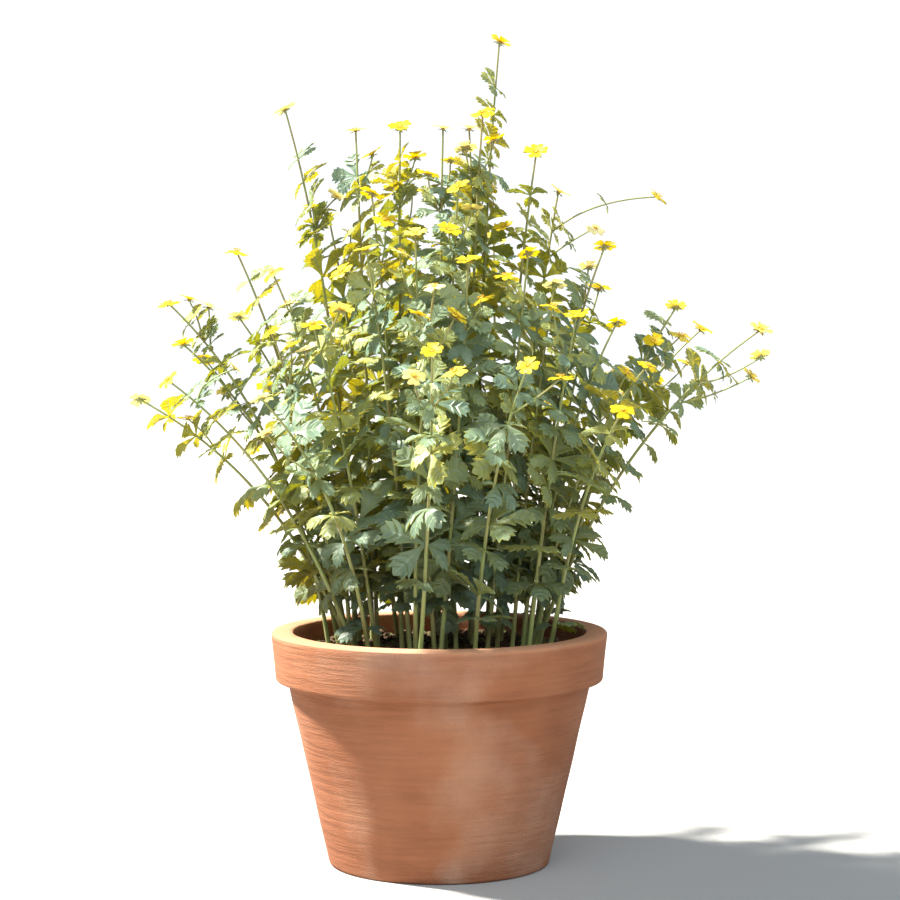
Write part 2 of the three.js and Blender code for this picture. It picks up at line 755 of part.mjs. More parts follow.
function soilMesh(stems) {
  const ledge = COLLAR_FOOT - LEDGE_DROP;
  const climb = (SOIL_LEVEL - ledge) / (POT_HEIGHT - EDGE_ROUND - ledge);
  const edge = innerRadius(COLLAR_FOOT) + LEDGE_WIDTH * climb - FIT_GAP;
  const body = turned([
    [0, POT_FLOOR + FIT_GAP],
    [innerRadius(POT_FLOOR) - 2 * FIT_GAP, POT_FLOOR + FIT_GAP],
    [innerRadius(COLLAR_FOOT) - 1.3 * FIT_GAP, ledge],
    [edge, SOIL_LEVEL],
    ...SOIL_RINGS.map((share) => [edge * share, SOIL_LEVEL]),
    [0, SOIL_LEVEL],
  ]);
  const place = body.attributes.position;
  for (let i = 0; i < place.count; i++) {
    const [x, y, z] = [place.getX(i), place.getY(i), place.getZ(i)];
    if (Math.abs(z - SOIL_LEVEL) < 0.01 && Math.hypot(x, y) < edge - 1) place.setZ(i, soilHeight(x, y));
  }
  let soil = solid(body);
  for (const { rings } of stems) soil = soil.subtract(stemHole(rings[0], rings[1]));
  const earth = new THREE.MeshStandardMaterial({ color: '#4b3727', roughness: 1, flatShading: true });
  return named('soil', surface(soil), earth);
}

// Stems first, then the side flowers, then the leaves, so that each finds its way round what stands
const stems = STEMS.map((_, number) => placeStem(number)).filter(Boolean);
const branches = stems.map(() => new Map());
const leaves = stems.map(() => new Map());
stems.forEach((stem, i) => stem.rings.slice(1, -1).forEach((ring, place) => {
  const branch = ring.fork === undefined ? null : placeBranch(stem, ring);
  if (branch) branches[i].set(place, branch);
}));
stems.forEach((stem, i) => stem.rings.slice(1, -1).forEach((ring, place) => {
  const leaf = ring.leaf === undefined ? null : placeLeaf(stem, ring);
  if (leaf) leaves[i].set(place, leaf);
}));

const plant = new THREE.Group();
plant.add(potMesh(), soilMesh(stems));
stems.forEach((stem, i) => plant.add(stemMesh(stem, leaves[i], branches[i])));

export default plant;
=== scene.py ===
import json
import math
import random

import bmesh
import bpy
from mathutils import Matrix, Quaternion, Vector, kdtree, noise

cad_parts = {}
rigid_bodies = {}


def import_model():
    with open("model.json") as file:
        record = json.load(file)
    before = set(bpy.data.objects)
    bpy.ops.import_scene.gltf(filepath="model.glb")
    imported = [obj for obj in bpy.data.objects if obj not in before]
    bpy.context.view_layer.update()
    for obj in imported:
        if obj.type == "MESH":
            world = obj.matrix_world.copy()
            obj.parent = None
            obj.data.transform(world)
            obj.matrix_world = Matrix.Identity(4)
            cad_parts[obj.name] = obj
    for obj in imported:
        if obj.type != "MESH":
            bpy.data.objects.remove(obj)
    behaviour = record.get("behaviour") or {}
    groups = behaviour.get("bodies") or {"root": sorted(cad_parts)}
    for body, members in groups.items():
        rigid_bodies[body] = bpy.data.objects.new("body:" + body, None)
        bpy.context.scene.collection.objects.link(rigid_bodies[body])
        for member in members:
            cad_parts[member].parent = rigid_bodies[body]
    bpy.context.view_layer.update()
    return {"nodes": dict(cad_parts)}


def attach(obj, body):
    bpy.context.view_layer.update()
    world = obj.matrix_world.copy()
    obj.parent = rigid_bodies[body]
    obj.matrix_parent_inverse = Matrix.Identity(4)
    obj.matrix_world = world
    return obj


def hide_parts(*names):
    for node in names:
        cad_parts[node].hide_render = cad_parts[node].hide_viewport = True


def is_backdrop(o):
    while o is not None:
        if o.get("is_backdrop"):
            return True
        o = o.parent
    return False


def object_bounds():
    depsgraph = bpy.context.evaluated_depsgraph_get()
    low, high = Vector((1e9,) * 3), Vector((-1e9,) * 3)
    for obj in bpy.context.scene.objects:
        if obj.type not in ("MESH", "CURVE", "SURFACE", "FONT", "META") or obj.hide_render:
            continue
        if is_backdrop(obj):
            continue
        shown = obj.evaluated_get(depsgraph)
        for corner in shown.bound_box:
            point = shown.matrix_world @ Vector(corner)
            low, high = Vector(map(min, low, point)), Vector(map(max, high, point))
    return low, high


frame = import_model()

# Potted tormentil: fine stems, toothed leaves and four-petalled flowers on the plant's own frame.
# The growth rule works in millimetres, and everything that is made from it is in metres.
MM = 0.001

# Pot and soil, as in the part
POT_HEIGHT = 125
POT_BASE_RADIUS = 59
POT_TOP_RADIUS = 81
POT_WALL = 6
POT_FLOOR = 7
COLLAR_HEIGHT = 27
COLLAR_RADIUS = 90
COLLAR_TAPER = 2.5
COLLAR_FOOT = POT_HEIGHT - COLLAR_HEIGHT
LEDGE_WIDTH = 3
LEDGE_DROP = 4
DRAIN_HOLES = 3
DRAIN_RADIUS = 5.5
DRAIN_CIRCLE = 30
SOIL_LEVEL = 113
SOIL_MOUND = 3
SOIL_BUMP = 1.1
SOIL_WAVES = (0.19, 0.23, 0.41)
FIT_GAP = 0.35

# Clump of stems, as in the part
CLUMP_RADIUS = 66
CLUMP_REACH = 105
STEM_RADIUS_FOOT = 1.55
STEM_RADIUS_TOP = 0.85
BRANCH_RADIUS = 0.7
LEAN_SHARE = 0.3
SWAY = 7
STEM_BULGE = (0.6, 0.72)
FIRST_LEAF = (0.09, 0.24)
LAST_LEAF = 0.76
LEAF_STEP = (0.135, 0.205)
FORK_SHARES = (0.3, 0.9)
FORK_DROP = (24, 33)
PLACE_GAP = 7
BRANCH_SPREAD = 0.45
LEAF_LENGTH_LOW = 19
LEAF_LENGTH_HIGH = 13
LEAFY_HEIGHT = 240
LEAF_RISE = 0.25
LEAF_DROOP = (0.3, 0.6)
LEAF_HANG = (-0.35, 0.85)
LEAF_ROLL = 0.35
STIPULE_SIZE = 0.62
FLOWER_RADIUS = 5.6
CUP_RADIUS = 0.95
CUP_HEIGHT = 0.9
STAMEN_DOME = 0.9
PETAL_CUP = (-0.12, 0.5)
PETAL_DROOP = 0.25
PETAL_NOTCH = 0.78
SEED = 4127
TRIES = 60
FOOT, SWAY_DRAW, DEPTH, TURN, SIZE, PITCH, DROOP, TILT, STEP, ROLL = range(1, 11)

# The stems: tip across, tip height, tip depth, then across and height of each side flower
STEMS = (
    (32, 325, 8),
    (23, 286, -12, (29, 272), (14, 268)),
    (16, 280, 20, (10, 264), (25, 249)),
    (2, 278, -4, (6, 262), (-6, 254)),
    (-21, 280, 12, (-13, 264), (-25, 255)),
    (-44, 277, -8, (-35, 264)),
    (-82, 289, 6, (-68, 238), (-55, 243)),
    (51, 265, -12, (34, 226)),
    (64, 246, 22, (118, 244), (84, 227)),
    (87, 216, -14, (79, 205)),
    (87, 194, 32, (76, 182)),
    (-109, 214, 16),
    (-87, 202, -24, (-78, 186)),
    (-143, 186, -6, (-133, 188), (-122, 184)),
    (-110, 179, 38),
    (-137, 164, 12, (-127, 157), (-115, 139)),
    (-141, 146, -30, (-107, 152)),
    (-160, 135, 4, (-134, 125)),
    (124, 184, -22, (126, 169), (112, 166)),
    (141, 172, 20, (134, 154), (122, 152)),
    (170, 172, -4, (170, 158), (165, 147)),
    (118, 144, 44),
    (107, 154, -48, (96, 150)),
    (92, 176, -36),
    (70, 179, -56, (58, 184)),
    (92, 132, -80),
    (-86, 171, -46, (-76, 165), (-67, 162)),
    (-64, 175, -62, (-50, 182)),
    (-89, 138, -78, (-86, 120)),
    (-60, 233, 26, (-48, 223)),
    (-35, 243, -30, (-28, 229)),
    (-25, 250, 44, (-15, 247)),
    (10, 246, -36, (17, 234), (5, 223)),
    (-12, 221, -54, (-20, 212)),
    (-37, 213, -48, (-50, 202)),
    (46, 212, -40, (34, 200)),
    (60, 196, -32),
    (15, 207, -62, (22, 188)),
    (-2, 194, -78, (-10, 180), (8, 179)),
    (-3, 162, -118, (8, 152), (-12, 150)),
    (44, 155, -106, (60, 149)),
    (30, 222, 66, (20, 210), (41, 206)),
    (-20, 214, 78, (-31, 200)),
    (64, 186, 72, (54, 172), (74, 166)),
    (-66, 190, 66, (-55, 177), (-78, 172)),
    (6, 176, 112, (-7, 161), (18, 158)),
    (-40, 148, 140, (-30, 136)),
    (52, 140, 124, (63, 128)),
    (-96, 140, 64, (-87, 127)),
    (97, 148, 68, (104, 135)),
)
STEM_NODES = [f"stem_{number + 1:02d}" for number in range(len(STEMS))]

# What is finer here than in the part: stalk radii at foot and tip, and leaves between the part's own
FINE_STEM = (1.4, 0.5)
FINE_BRANCH = (0.55, 0.4)
STEM_SIDES = 8
STALK_STEP = 5
STEM_SUNK = 6
MORE_LEAF_GAP = 14
MORE_LEAF_START = 26
MORE_LEAF_END = 0.93
MORE_LEAF_TRIES = 30
MORE_LEAF_LENGTH = (24, 19)
MORE_LEAF_HEIGHT = 260
SMALL_LEAF_START = 0.72
SMALL_LEAF_SIZE = 0.6
BRANCH_LEAVES = ((0.06, 11), (0.5, 8.5))
MORE_LEAF_HANG = (-0.35, 0.3)
MORE_LEAF_DROOP = (0.08, 0.36)
MORE_LEAF_FACING = (0.6, 2.8)
FACING_SWING = 0.5
MORE_LEAF_TURN = (0.75, 2.2)
LATE_LEAF_SIZE = 0.78
TRIES_FOR_SHARED_CELL = 4
ROOM_CELL = 2.6
LEAF_PROBES = (range(-75, 76, 25), (0.4, 0.6, 0.8, 1.0))
STIPULE_PROBES = ((-28, 28), (0.6, 1.0))
MATCH = 0.03

# Patterns that are repeated, of which each leaf or flower takes the one most like it
LEAF_PATTERNS = 9
PATTERN_DROOP = (0.08, 0.6)
STIPULE_PATTERNS = 5
STIPULE_DROOP = 0.35
PETAL_PATTERNS = 5
CENTRE_PATTERNS = 2

UP = Vector((0, 0, 1))
ACROSS = Vector((1, 0, 0))
WORD = 0xFFFFFFFF


def mix(low, high, share):
    return low + (high - low) * share


def clamp(value, low, high):
    return max(low, min(high, value))


def across_to(direction, axis):
    """The part of a direction that is square to an axis, at length 1"""
    return (direction - axis * direction.dot(axis)).normalized()


# Growth rule


def draw(*keys):
    """A repeatable draw from 0 to 1 for the whole numbers given"""
    value = SEED
    for key in keys:
        value = ((value ^ (key + 1)) * 0x9E3779B1) & WORD
        value ^= value >> 15
    value = (value * 0x85EBCA6B) & WORD
    value ^= value >> 13
    value = (value * 0xC2B2AE35) & WORD
    value ^= value >> 16
    return value / 2**32


def swing(*keys):
    return 2 * draw(*keys) - 1


def curve_point(curve, share):
    start, control, end = curve
    return start.lerp(control, share).lerp(control.lerp(end, share), share)


def curve_direction(curve, share):
    start, control, end = curve
    return (control - start).lerp(end - control, share).normalized()


def stem_curve(number, attempt):
    across, height, depth = STEMS[number][:3]
    drift = swing(number, attempt, DEPTH) * (1 + attempt / 6)
    tip = Vector((across, depth + drift, SOIL_LEVEL + height))
    reach = math.hypot(tip.x, tip.y)
    around = math.atan2(tip.y, tip.x) + swing(number, attempt, TURN) * (0.3 + attempt / TRIES)
    spread = min(1, (reach / CLUMP_REACH) ** 0.7) * (1 - 0.3 * draw(number, attempt, FOOT))
    away = CLUMP_RADIUS * spread
    foot = Vector((away * math.cos(around), away * math.sin(around), SOIL_LEVEL))
    lean = math.hypot(tip.x - foot.x, tip.y - foot.y) / height
    control = foot.lerp(tip, LEAN_SHARE)
    control.z = foot.z + height * mix(*STEM_BULGE, clamp(lean, 0, 1))
    control.x += SWAY * swing(number, attempt, SWAY_DRAW)
    control.y += SWAY * swing(number, attempt, SWAY_DRAW, 1)
    return foot, control, tip


def stem_places(number):
    """Where the leaves and side flowers of a stem sit: [share of the curve, kind, index]"""
    height = STEMS[number][1]
    places = []
    share = mix(*FIRST_LEAF, draw(number, STEP))
    while share < LAST_LEAF:
        leaf = len(places)
        places.append([share, "leaf", leaf])
        share += mix(*LEAF_STEP, draw(number, leaf, STEP)) + PLACE_GAP / height
    for fork, (_, side_height) in enumerate(STEMS[number][3:]):
        below = side_height - mix(*FORK_DROP, draw(number, fork, STEP, 1))
        places.append([clamp(below / height, *FORK_SHARES), "fork", fork])
    places.sort(key=lambda place: place[0])
    for lower, upper in zip(places, places[1:]):
        upper[0] = max(upper[0], lower[0] + PLACE_GAP / height)
    return places


def stem_radius(share):
    return mix(STEM_RADIUS_FOOT, STEM_RADIUS_TOP, min(1, share * 1.25))


def flower_plan(number, flower, attempt, at, direction):
    around = draw(number, flower, attempt, TILT) * 2 * math.pi
    tilt = 0.15 + 0.55 * draw(number, flower, attempt, TILT, 1)
    lean = Vector((math.cos(around), math.sin(around), 0))
    up = (direction.lerp(UP, 0.6) + lean * tilt).normalized()
    size = FLOWER_RADIUS * (0.88 + 0.2 * draw(number, flower, SIZE))
    return {"at": at, "up": up, "size": size, "cup": mix(*PETAL_CUP, draw(number, flower, PITCH))}


def flower_top(flower):
    return flower["at"] + flower["up"] * (CUP_HEIGHT + STAMEN_DOME)


def branch_curve(number, fork, place, attempt):
    height, depth = STEMS[number][1:3]
    across, side_height = STEMS[number][3 + fork]
    share = clamp(side_height / height, 0, 1)
    drift = swing(number, fork, attempt, DEPTH) * (6 + attempt / 2)
    tip = Vector((across, mix(place["at"].y, depth, share) + drift, SOIL_LEVEL + side_height))
    way = tip - place["at"]
    out = across_to(way, place["direction"])
    leaving = place["direction"].lerp(out, BRANCH_SPREAD).normalized()
    return place["at"], place["at"] + leaving * BRANCH_SPREAD * way.length, tip


def leaf_plan(number, leaf, place, attempt):
    outward = math.atan2(place["at"].y, place["at"].x)
    around = outward + swing(number, leaf, attempt, TURN) * (1 + 1.8 * attempt / TRIES)
    full = mix(LEAF_LENGTH_LOW, LEAF_LENGTH_HIGH, clamp((place["at"].z - SOIL_LEVEL) / LEAFY_HEIGHT, 0, 1))
    length = full * mix(0.9, 1.08, draw(number, leaf, SIZE)) * mix(1, 0.66, attempt / TRIES)
    droop = mix(*LEAF_DROOP, draw(number, leaf, attempt, DROOP))
    hang = mix(*LEAF_HANG, draw(number, leaf, attempt, PITCH))
    roll = LEAF_ROLL * swing(number, leaf, attempt, ROLL)
    return leaf_pair(place, around, hang, roll, length, droop)


def leaf_pair(place, around, hang, roll, length, droop, facing=Vector((0, 0, 0))):
    """A leaf and its pair of stipules, on opposite sides of a stem. The pair is level, or tips
    towards the way that it faces."""
    above = (place["direction"] + UP + facing).normalized()
    leaf = blade_plan(place, above, around, hang, roll, length)
    leaf["droop"] = droop
    return leaf, blade_plan(place, above, around + math.pi, 0.1, 0, length * STIPULE_SIZE)


def blade_plan(place, above, around, hang, roll, length):
    ahead = across_to(Vector((math.cos(around), math.sin(around), 0)), above)
    out = ahead * math.cos(hang) - above * math.sin(hang)
    across = Quaternion(out, roll) @ above.cross(ahead)
    root = place["at"] + ahead * place["radius"] * 0.7
    return {"at": root, "out": out, "across": across, "up": out.cross(across), "size": length}


def leaf_tip(leaf):
    return leaf["at"] + (leaf["out"] + leaf["up"] * (LEAF_RISE - leaf["droop"])) * leaf["size"]


# The plant as it stands in the frame


def corner_tree(node):
    """The corners of a CAD node in millimetres, for finding the nearest"""
    corners = frame["nodes"][node].data.vertices
    tree = kdtree.KDTree(len(corners))
    for index, corner in enumerate(corners):
        tree.insert(corner.co / MM, index)
    tree.balance()
    return tree


def standing(tree, plan, mark):
    """The first try of a plan whose marked point is a corner of the CAD node"""
    for attempt in range(TRIES):
        made = plan(attempt)
        if tree.find(mark(made))[2] < MATCH:
            return made
    return None


def petal_direction(tree, flower):
    """Which way the flower's first petal points, read off the notch of one of the CAD petals"""
    at, up, size = flower["at"], flower["up"], flower["size"]
    reach = CUP_RADIUS * math.sqrt(0.5) + PETAL_NOTCH * size
    rise = CUP_HEIGHT / 2 + (flower["cup"] * PETAL_NOTCH - PETAL_DROOP * PETAL_NOTCH**2) * size
    for corner, _, _ in tree.find_range(at + up * rise, reach + MATCH):
        height = (corner - at).dot(up)
        out = corner - at - up * height
        if abs(height - rise) < MATCH and abs(out.length - reach) < MATCH:
            return out.normalized()
    return across_to(ACROSS, up)


def grow_stem(number):
    tree = corner_tree(STEM_NODES[number])

    def plan_stem(attempt):
        curve = stem_curve(number, attempt)
        flower = flower_plan(number, 0, attempt, curve[2], curve_direction(curve, 1))
        return {"curve": curve, "flower": flower}

    stem = standing(tree, plan_stem, lambda made: flower_top(made["flower"]))
    stem.update(number=number, branches=[], leaves=[], flowers=[stem["flower"]])
    for share, kind, index in stem_places(number):
        place = place_on(stem["curve"], share, stem_radius(share))
        if kind == "leaf":
            leaf = standing(
                tree,
                lambda attempt: leaf_plan(number, index, place, attempt),
                lambda pair: leaf_tip(pair[0]),
            )
            if leaf:
                stem["leaves"].append({"share": share, "blades": leaf})
            continue

        def plan_branch(attempt):
            curve = branch_curve(number, index, place, attempt)
            flower = flower_plan(number, index + 1, attempt, curve[2], curve_direction(curve, 1))
            return {"curve": curve, "flower": flower}

        branch = standing(tree, plan_branch, lambda made: flower_top(made["flower"]))
        stem["branches"].append(branch)
        stem["flowers"].append(branch["flower"])
    for flower in stem["flowers"]:
        flower["out"] = petal_direction(tree, flower)
    return stem


def place_on(curve, share, radius):
    return {"at": curve_point(curve, share), "direction": curve_direction(curve, share), "radius": radius}


# Room that is taken, in small cells


def cell_of(point):
    return tuple(math.floor(value / ROOM_CELL) for value in point)


def leaf_cells(blades):
    cells = set()
    for blade, (angles, reaches) in zip(blades, (LEAF_PROBES, STIPULE_PROBES)):
        for angle in angles:
            side = math.radians(angle)
            way = blade["out"] * math.cos(side) + blade["across"] * math.sin(side)
            for reach in reaches:
                sag = LEAF_RISE * reach - blade.get("droop", STIPULE_DROOP) * reach * reach
                cells.add(cell_of(blade["at"] + (way * reach + blade["up"] * sag) * blade["size"]))
    return cells


def stalk_cells(curve):
    length = (curve[2] - curve[0]).length
    steps = math.ceil(length / ROOM_CELL * 1.5)
    return {cell_of(curve_point(curve, step / steps)) for step in range(steps + 1)}


def flower_cells(flower):
    cells = {cell_of(flower["at"])}
    side = across_to(ACROSS, flower["up"])
    for spoke in range(8):
        out = Quaternion(flower["up"], spoke * math.pi / 4) @ side
        for reach in (0.45, 0.9):
            cells.add(cell_of(flower["at"] + out * flower["size"] * reach + flower["up"] * CUP_HEIGHT))
    return cells


def soil_height(x, y):
    mound = SOIL_MOUND * (1 - (x * x + y * y) / POT_TOP_RADIUS**2)
    long, cross, short = SOIL_WAVES
    bumps = math.sin(x * long + 1.3) * math.cos(y * cross) + math.sin((x + y) * short) * 0.6
    return SOIL_LEVEL + mound + SOIL_BUMP * bumps


def over_holder(cell):
    """Whether a cell is clear of the soil and of the pot's collar"""
    x, y, z = ((value + 0.5) * ROOM_CELL for value in cell)
    away = math.hypot(x, y)
    if away < POT_TOP_RADIUS - POT_WALL:
        return z > soil_height(x, y) + ROOM_CELL
    return away > COLLAR_RADIUS + ROOM_CELL or z > POT_HEIGHT + ROOM_CELL


def more_leaves(stems):
    """The leaves between those of the part, wherever there is room for them"""
    room = {}
    for stem in stems:
        number = stem["number"]
        for curve in [stem["curve"], *(branch["curve"] for branch in stem["branches"])]:
            room.update(dict.fromkeys(stalk_cells(curve), ("stalk", number)))
    for stem in stems:
        for flower in stem["flowers"]:
            room.update(dict.fromkeys(flower_cells(flower), ("flower", 0)))
        for leaf in stem["leaves"]:
            room.update(dict.fromkeys(leaf_cells(leaf["blades"]), ("leaf", 0)))
    rng = random.Random(SEED)
    for stem in stems:
        own = ("stalk", stem["number"])
        for place, length in leaf_places(stem, rng):
            outward = math.atan2(place["at"].y, place["at"].x)
            for attempt in range(MORE_LEAF_TRIES):
                late = attempt / MORE_LEAF_TRIES
                faced = outward + rng.gauss(0, FACING_SWING)
                around = faced + math.pi + rng.gauss(0, mix(*MORE_LEAF_TURN, late))
                facing = Vector((math.cos(faced), math.sin(faced), 0)) * rng.uniform(*MORE_LEAF_FACING)
                hang = rng.uniform(*MORE_LEAF_HANG)
                roll = rng.uniform(-LEAF_ROLL, LEAF_ROLL)
                droop = rng.uniform(*MORE_LEAF_DROOP)
                size = length * mix(1, LATE_LEAF_SIZE, late)
                blades = leaf_pair(place, around, hang, roll, size, droop, facing)
                cells = leaf_cells(blades)
                shared = sum(room.get(cell, own) != own for cell in cells)
                if shared > attempt // TRIES_FOR_SHARED_CELL or not all(map(over_holder, cells)):
                    continue
                room.update(dict.fromkeys(cells, ("leaf", 0)))
                stem["leaves"].append({"blades": blades})
                break


def leaf_places(stem, rng):
    """Places for more leaves on a stem, at its forks and on its branches, with the leaves' length"""
    curve = stem["curve"]
    height = curve[2].z - curve[0].z
    taken = [leaf["share"] for leaf in stem["leaves"]]
    gap = MORE_LEAF_GAP / height
    share = MORE_LEAF_START / height + gap * rng.random()
    while share < MORE_LEAF_END:
        if all(abs(share - other) > gap * 0.55 for other in taken):
            place = place_on(curve, share, stem_radius(share))
            full = mix(*MORE_LEAF_LENGTH, clamp((place["at"].z - SOIL_LEVEL) / MORE_LEAF_HEIGHT, 0, 1))
            small = clamp((share - SMALL_LEAF_START) / (1 - SMALL_LEAF_START), 0, 1)
            yield place, full * mix(1, SMALL_LEAF_SIZE, small) * rng.uniform(0.85, 1.1)
        share += gap * rng.uniform(0.85, 1.3)
    for branch in stem["branches"]:
        for share, size in BRANCH_LEAVES:
            place = place_on(branch["curve"], share + 0.08 * rng.random(), BRANCH_RADIUS)
            yield place, size * rng.uniform(0.85, 1.25)


# Meshes


def new_mesh(name, corners, faces, blade=None):
    mesh = bpy.data.meshes.new(name)
    mesh.from_pydata([tuple(corner) for corner in corners], [], faces)
    if blade:
        attribute = mesh.attributes.new("blade", "FLOAT_VECTOR", "POINT")
        attribute.data.foreach_set("vector", [value for place in blade for value in place])
    mesh.polygons.foreach_set("use_smooth", [True] * len(mesh.polygons))
    mesh.update()
    return mesh


def new_object(name, mesh, collection=None):
    made = bpy.data.objects.new(name, mesh)
    (collection or bpy.context.scene.collection).objects.link(made)
    return made


def turned(profile, sides, unit=1, shift=None):
    """Corners and faces of a closed turned solid about +Z, from a profile that starts and ends on the
    axis. shift moves a point along its radius."""
    corners = []
    faces = []
    rings = []
    for radius, height in profile:
        start = len(corners)
        if radius < 1e-6:
            rings.append([start] * sides)
            corners.append((0, 0, height * unit))
            continue
        rings.append([start + side for side in range(sides)])
        for side in range(sides):
            turn = 2 * math.pi * side / sides
            away = radius + (shift(turn, height, radius) if shift else 0)
            corners.append((away * math.cos(turn) * unit, away * math.sin(turn) * unit, height * unit))
    for low, high in zip(rings, rings[1:]):
        for side in range(sides):
            after = (side + 1) % sides
            faces.append(tuple(dict.fromkeys((low[side], low[after], high[after], high[side]))))
    return corners, faces


def three_round(direction, radius):
    """Three points round a direction"""
    side = across_to(ACROSS if abs(direction.x) < 0.9 else UP, direction) * radius
    return [Quaternion(direction, corner * 2 * math.pi / 3) @ side for corner in range(3)]


def thread(foot, top, radius):
    """Corners and faces of a thin three-sided thread"""
    ring = three_round((top - foot).normalized(), radius)
    sides = [(side, (side + 1) % 3, 3 + (side + 1) % 3, 3 + side) for side in range(3)]
    return [end + corner for end in (foot, top) for corner in ring], [*sides, (2, 1, 0), (3, 4, 5)]


class Blades:
    """Closed thin blades that are gathered into one mesh. Each corner keeps its place on its blade:
    aside from -1 to 1, along from 0 to 1, and 1 for the underside."""

    def __init__(self):
        self.corners = []
        self.faces = []
        self.blade = []

    def add(self, rows, place, thickness, fractions=(-1, 0, 1), bend=1, tip=1):
        """rows are (along, half width, lag of the middle, sink) from base to end. place gives the corner
        for (along, aside, sink), and the blade ends in a point where tip is given. fractions are the
        lines of corners from side to side on top. The underside has one at each edge and a middle one."""
        upper = self.lines(rows, place, 0, thickness, fractions, bend, tip)
        lower = self.lines(rows, place, 1, thickness, (-1, 0, 1), bend, tip)
        self.cover(upper, False)
        self.cover(lower, True)
        for (top, top_after), (low, low_after) in zip(zip(upper, upper[1:]), zip(lower, lower[1:])):
            self.faces.append((low[0], low_after[0], top_after[0], top[0]))
            self.faces.append((low_after[-1], low[-1], top[-1], top_after[-1]))
        self.faces.append((*reversed(lower[0]), *upper[0]))
        if tip is None:
            self.faces.append((*lower[-1], *reversed(upper[-1])))

    def lines(self, rows, place, under, thickness, fractions, bend, tip):
        """The corners of one face of a blade, row by row"""
        made = []
        for along, half, lag, sink in rows:
            line = []
            for fraction in fractions:
                far = along - lag * (1 - abs(fraction)) ** bend
                line.append(self.corner(place(far, fraction * half, sink), (fraction, far, under), thickness))
            made.append(line)
        if tip is not None:
            made.append([self.corner(place(tip, 0, 0), (0, tip, under), thickness)])
        return made

    def cover(self, lines, under):
        """The faces between lines of corners, of which the last may be a single corner"""
        for row, after in zip(lines, lines[1:]):
            for column, (left, right) in enumerate(zip(row, row[1:])):
                ahead = after if len(after) == 1 else after[column:column + 2]
                self.faces.append((left, right, *reversed(ahead)) if under else (left, *ahead, right))

    def corner(self, at, blade, thickness):
        self.corners.append(at - Vector((0, 0, thickness * blade[2])))
        self.blade.append(blade)
        return len(self.corners) - 1

    def gather(self, corners, faces, along, centre=Vector((0, 0, 0))):
        """Takes in a closed form that lies at one place along a blade"""
        start = len(self.corners)
        self.corners.extend(centre + Vector(corner) for corner in corners)
        self.blade.extend([(0, along, 0)] * len(corners))
        self.faces.extend(tuple(start + corner for corner in face) for face in faces)

    def mesh(self, name):
        made = new_mesh(name, self.corners, self.faces, self.blade)
        made.set_sharp_from_angle(angle=math.radians(SHARP_FOLD))
        return made


# Half outlines of the fine blades: (along, half width, lag of the middle, sink). Each tooth has its
# tip on a sunk vein and a raised notch after it.
LEAFLET = (
    (0.0, 0.022, 0, 0), (0.2, 0.062, 0.02, 0), (0.4, 0.145, 0.06, 0.3), (0.61, 0.275, 0.19, -1),
    (0.58, 0.195, 0.1, 1), (0.69, 0.265, 0.15, 0.4), (0.83, 0.315, 0.23, -1),
    (0.785, 0.215, 0.125, 1), (0.955, 0.215, 0.225, -1),
    (0.895, 0.125, 0.095, 1), (0.95, 0.08, 0.07, 0.3),
)
STIPULE = (
    (0.0, 0.035, 0, 0), (0.22, 0.11, 0.03, 0), (0.48, 0.27, 0.2, -1),
    (0.465, 0.19, 0.115, 1), (0.72, 0.265, 0.24, -1),
    (0.68, 0.175, 0.12, 1), (0.9, 0.155, 0.18, -1), (0.87, 0.08, 0.07, 0.6),
)
PETAL = (
    (0.0, 0.13, 0, 0), (0.14, 0.26, 0, 0), (0.32, 0.41, 0, 0), (0.52, 0.53, 0.01, 0),
    (0.72, 0.6, 0.03, 0), (0.88, 0.56, 0.07, 0), (0.97, 0.38, 0.115, 0), (0.975, 0.2, 0.13, 0),
)
SEPAL = ((0.0, 0.1, 0, 0), (0.25, 0.17, 0, 0), (0.5, 0.16, 0, 0), (0.78, 0.085, 0, 0))
LEAFLET_ANGLE = 60
SIDE_LEAFLET_LENGTH = 0.96
STIPULE_ANGLE = 27
STIPULE_LENGTH = 1.05
SHARP_FOLD = 60

# How a leaflet is folded, twisted, waved, curled and pleated, in shares of its length
FOLD = (0.04, 0.2)
TWIST = (-0.25, 0.25)
WAVE = (0.01, 0.025)
CURL = (-0.04, 0.06)
PLEAT = 0.028

# Thickness of the fine blades, in shares of their length
LEAFLET_THICKNESS = 0.016
STIPULE_THICKNESS = 0.022
PETAL_THICKNESS = 0.03
SEPAL_THICKNESS = 0.025

# Petals: lines of corners across, how their notch bends, and where they start
PETAL_LINES = (-1, -0.66, -0.33, 0, 0.33, 0.66, 1)
PETAL_BEND = 1.7
PETAL_ROOT = (0.12, 0.08)

# Length, width and rise of the four main sepals, and of the four lesser ones
MAIN_SEPALS = (0.66, 1, 0.04)
LESSER_SEPALS = (0.5, 0.62, -0.1)

# Turned forms of a flower, as (radius, height): the cup, the boss of pistils and an anther
CUP = ((0, -0.16), (0.1, -0.14), (0.19, -0.04), (0.2, 0.06), (0.12, 0.12), (0, 0.13))
BOSS = ((0, 0.02), (0.13, 0.06), (0.16, 0.14), (0.1, 0.22), (0, 0.24))
ANTHER = ((0, -0.05), (0.045, -0.01), (0.04, 0.03), (0, 0.055))
STAMENS = 16


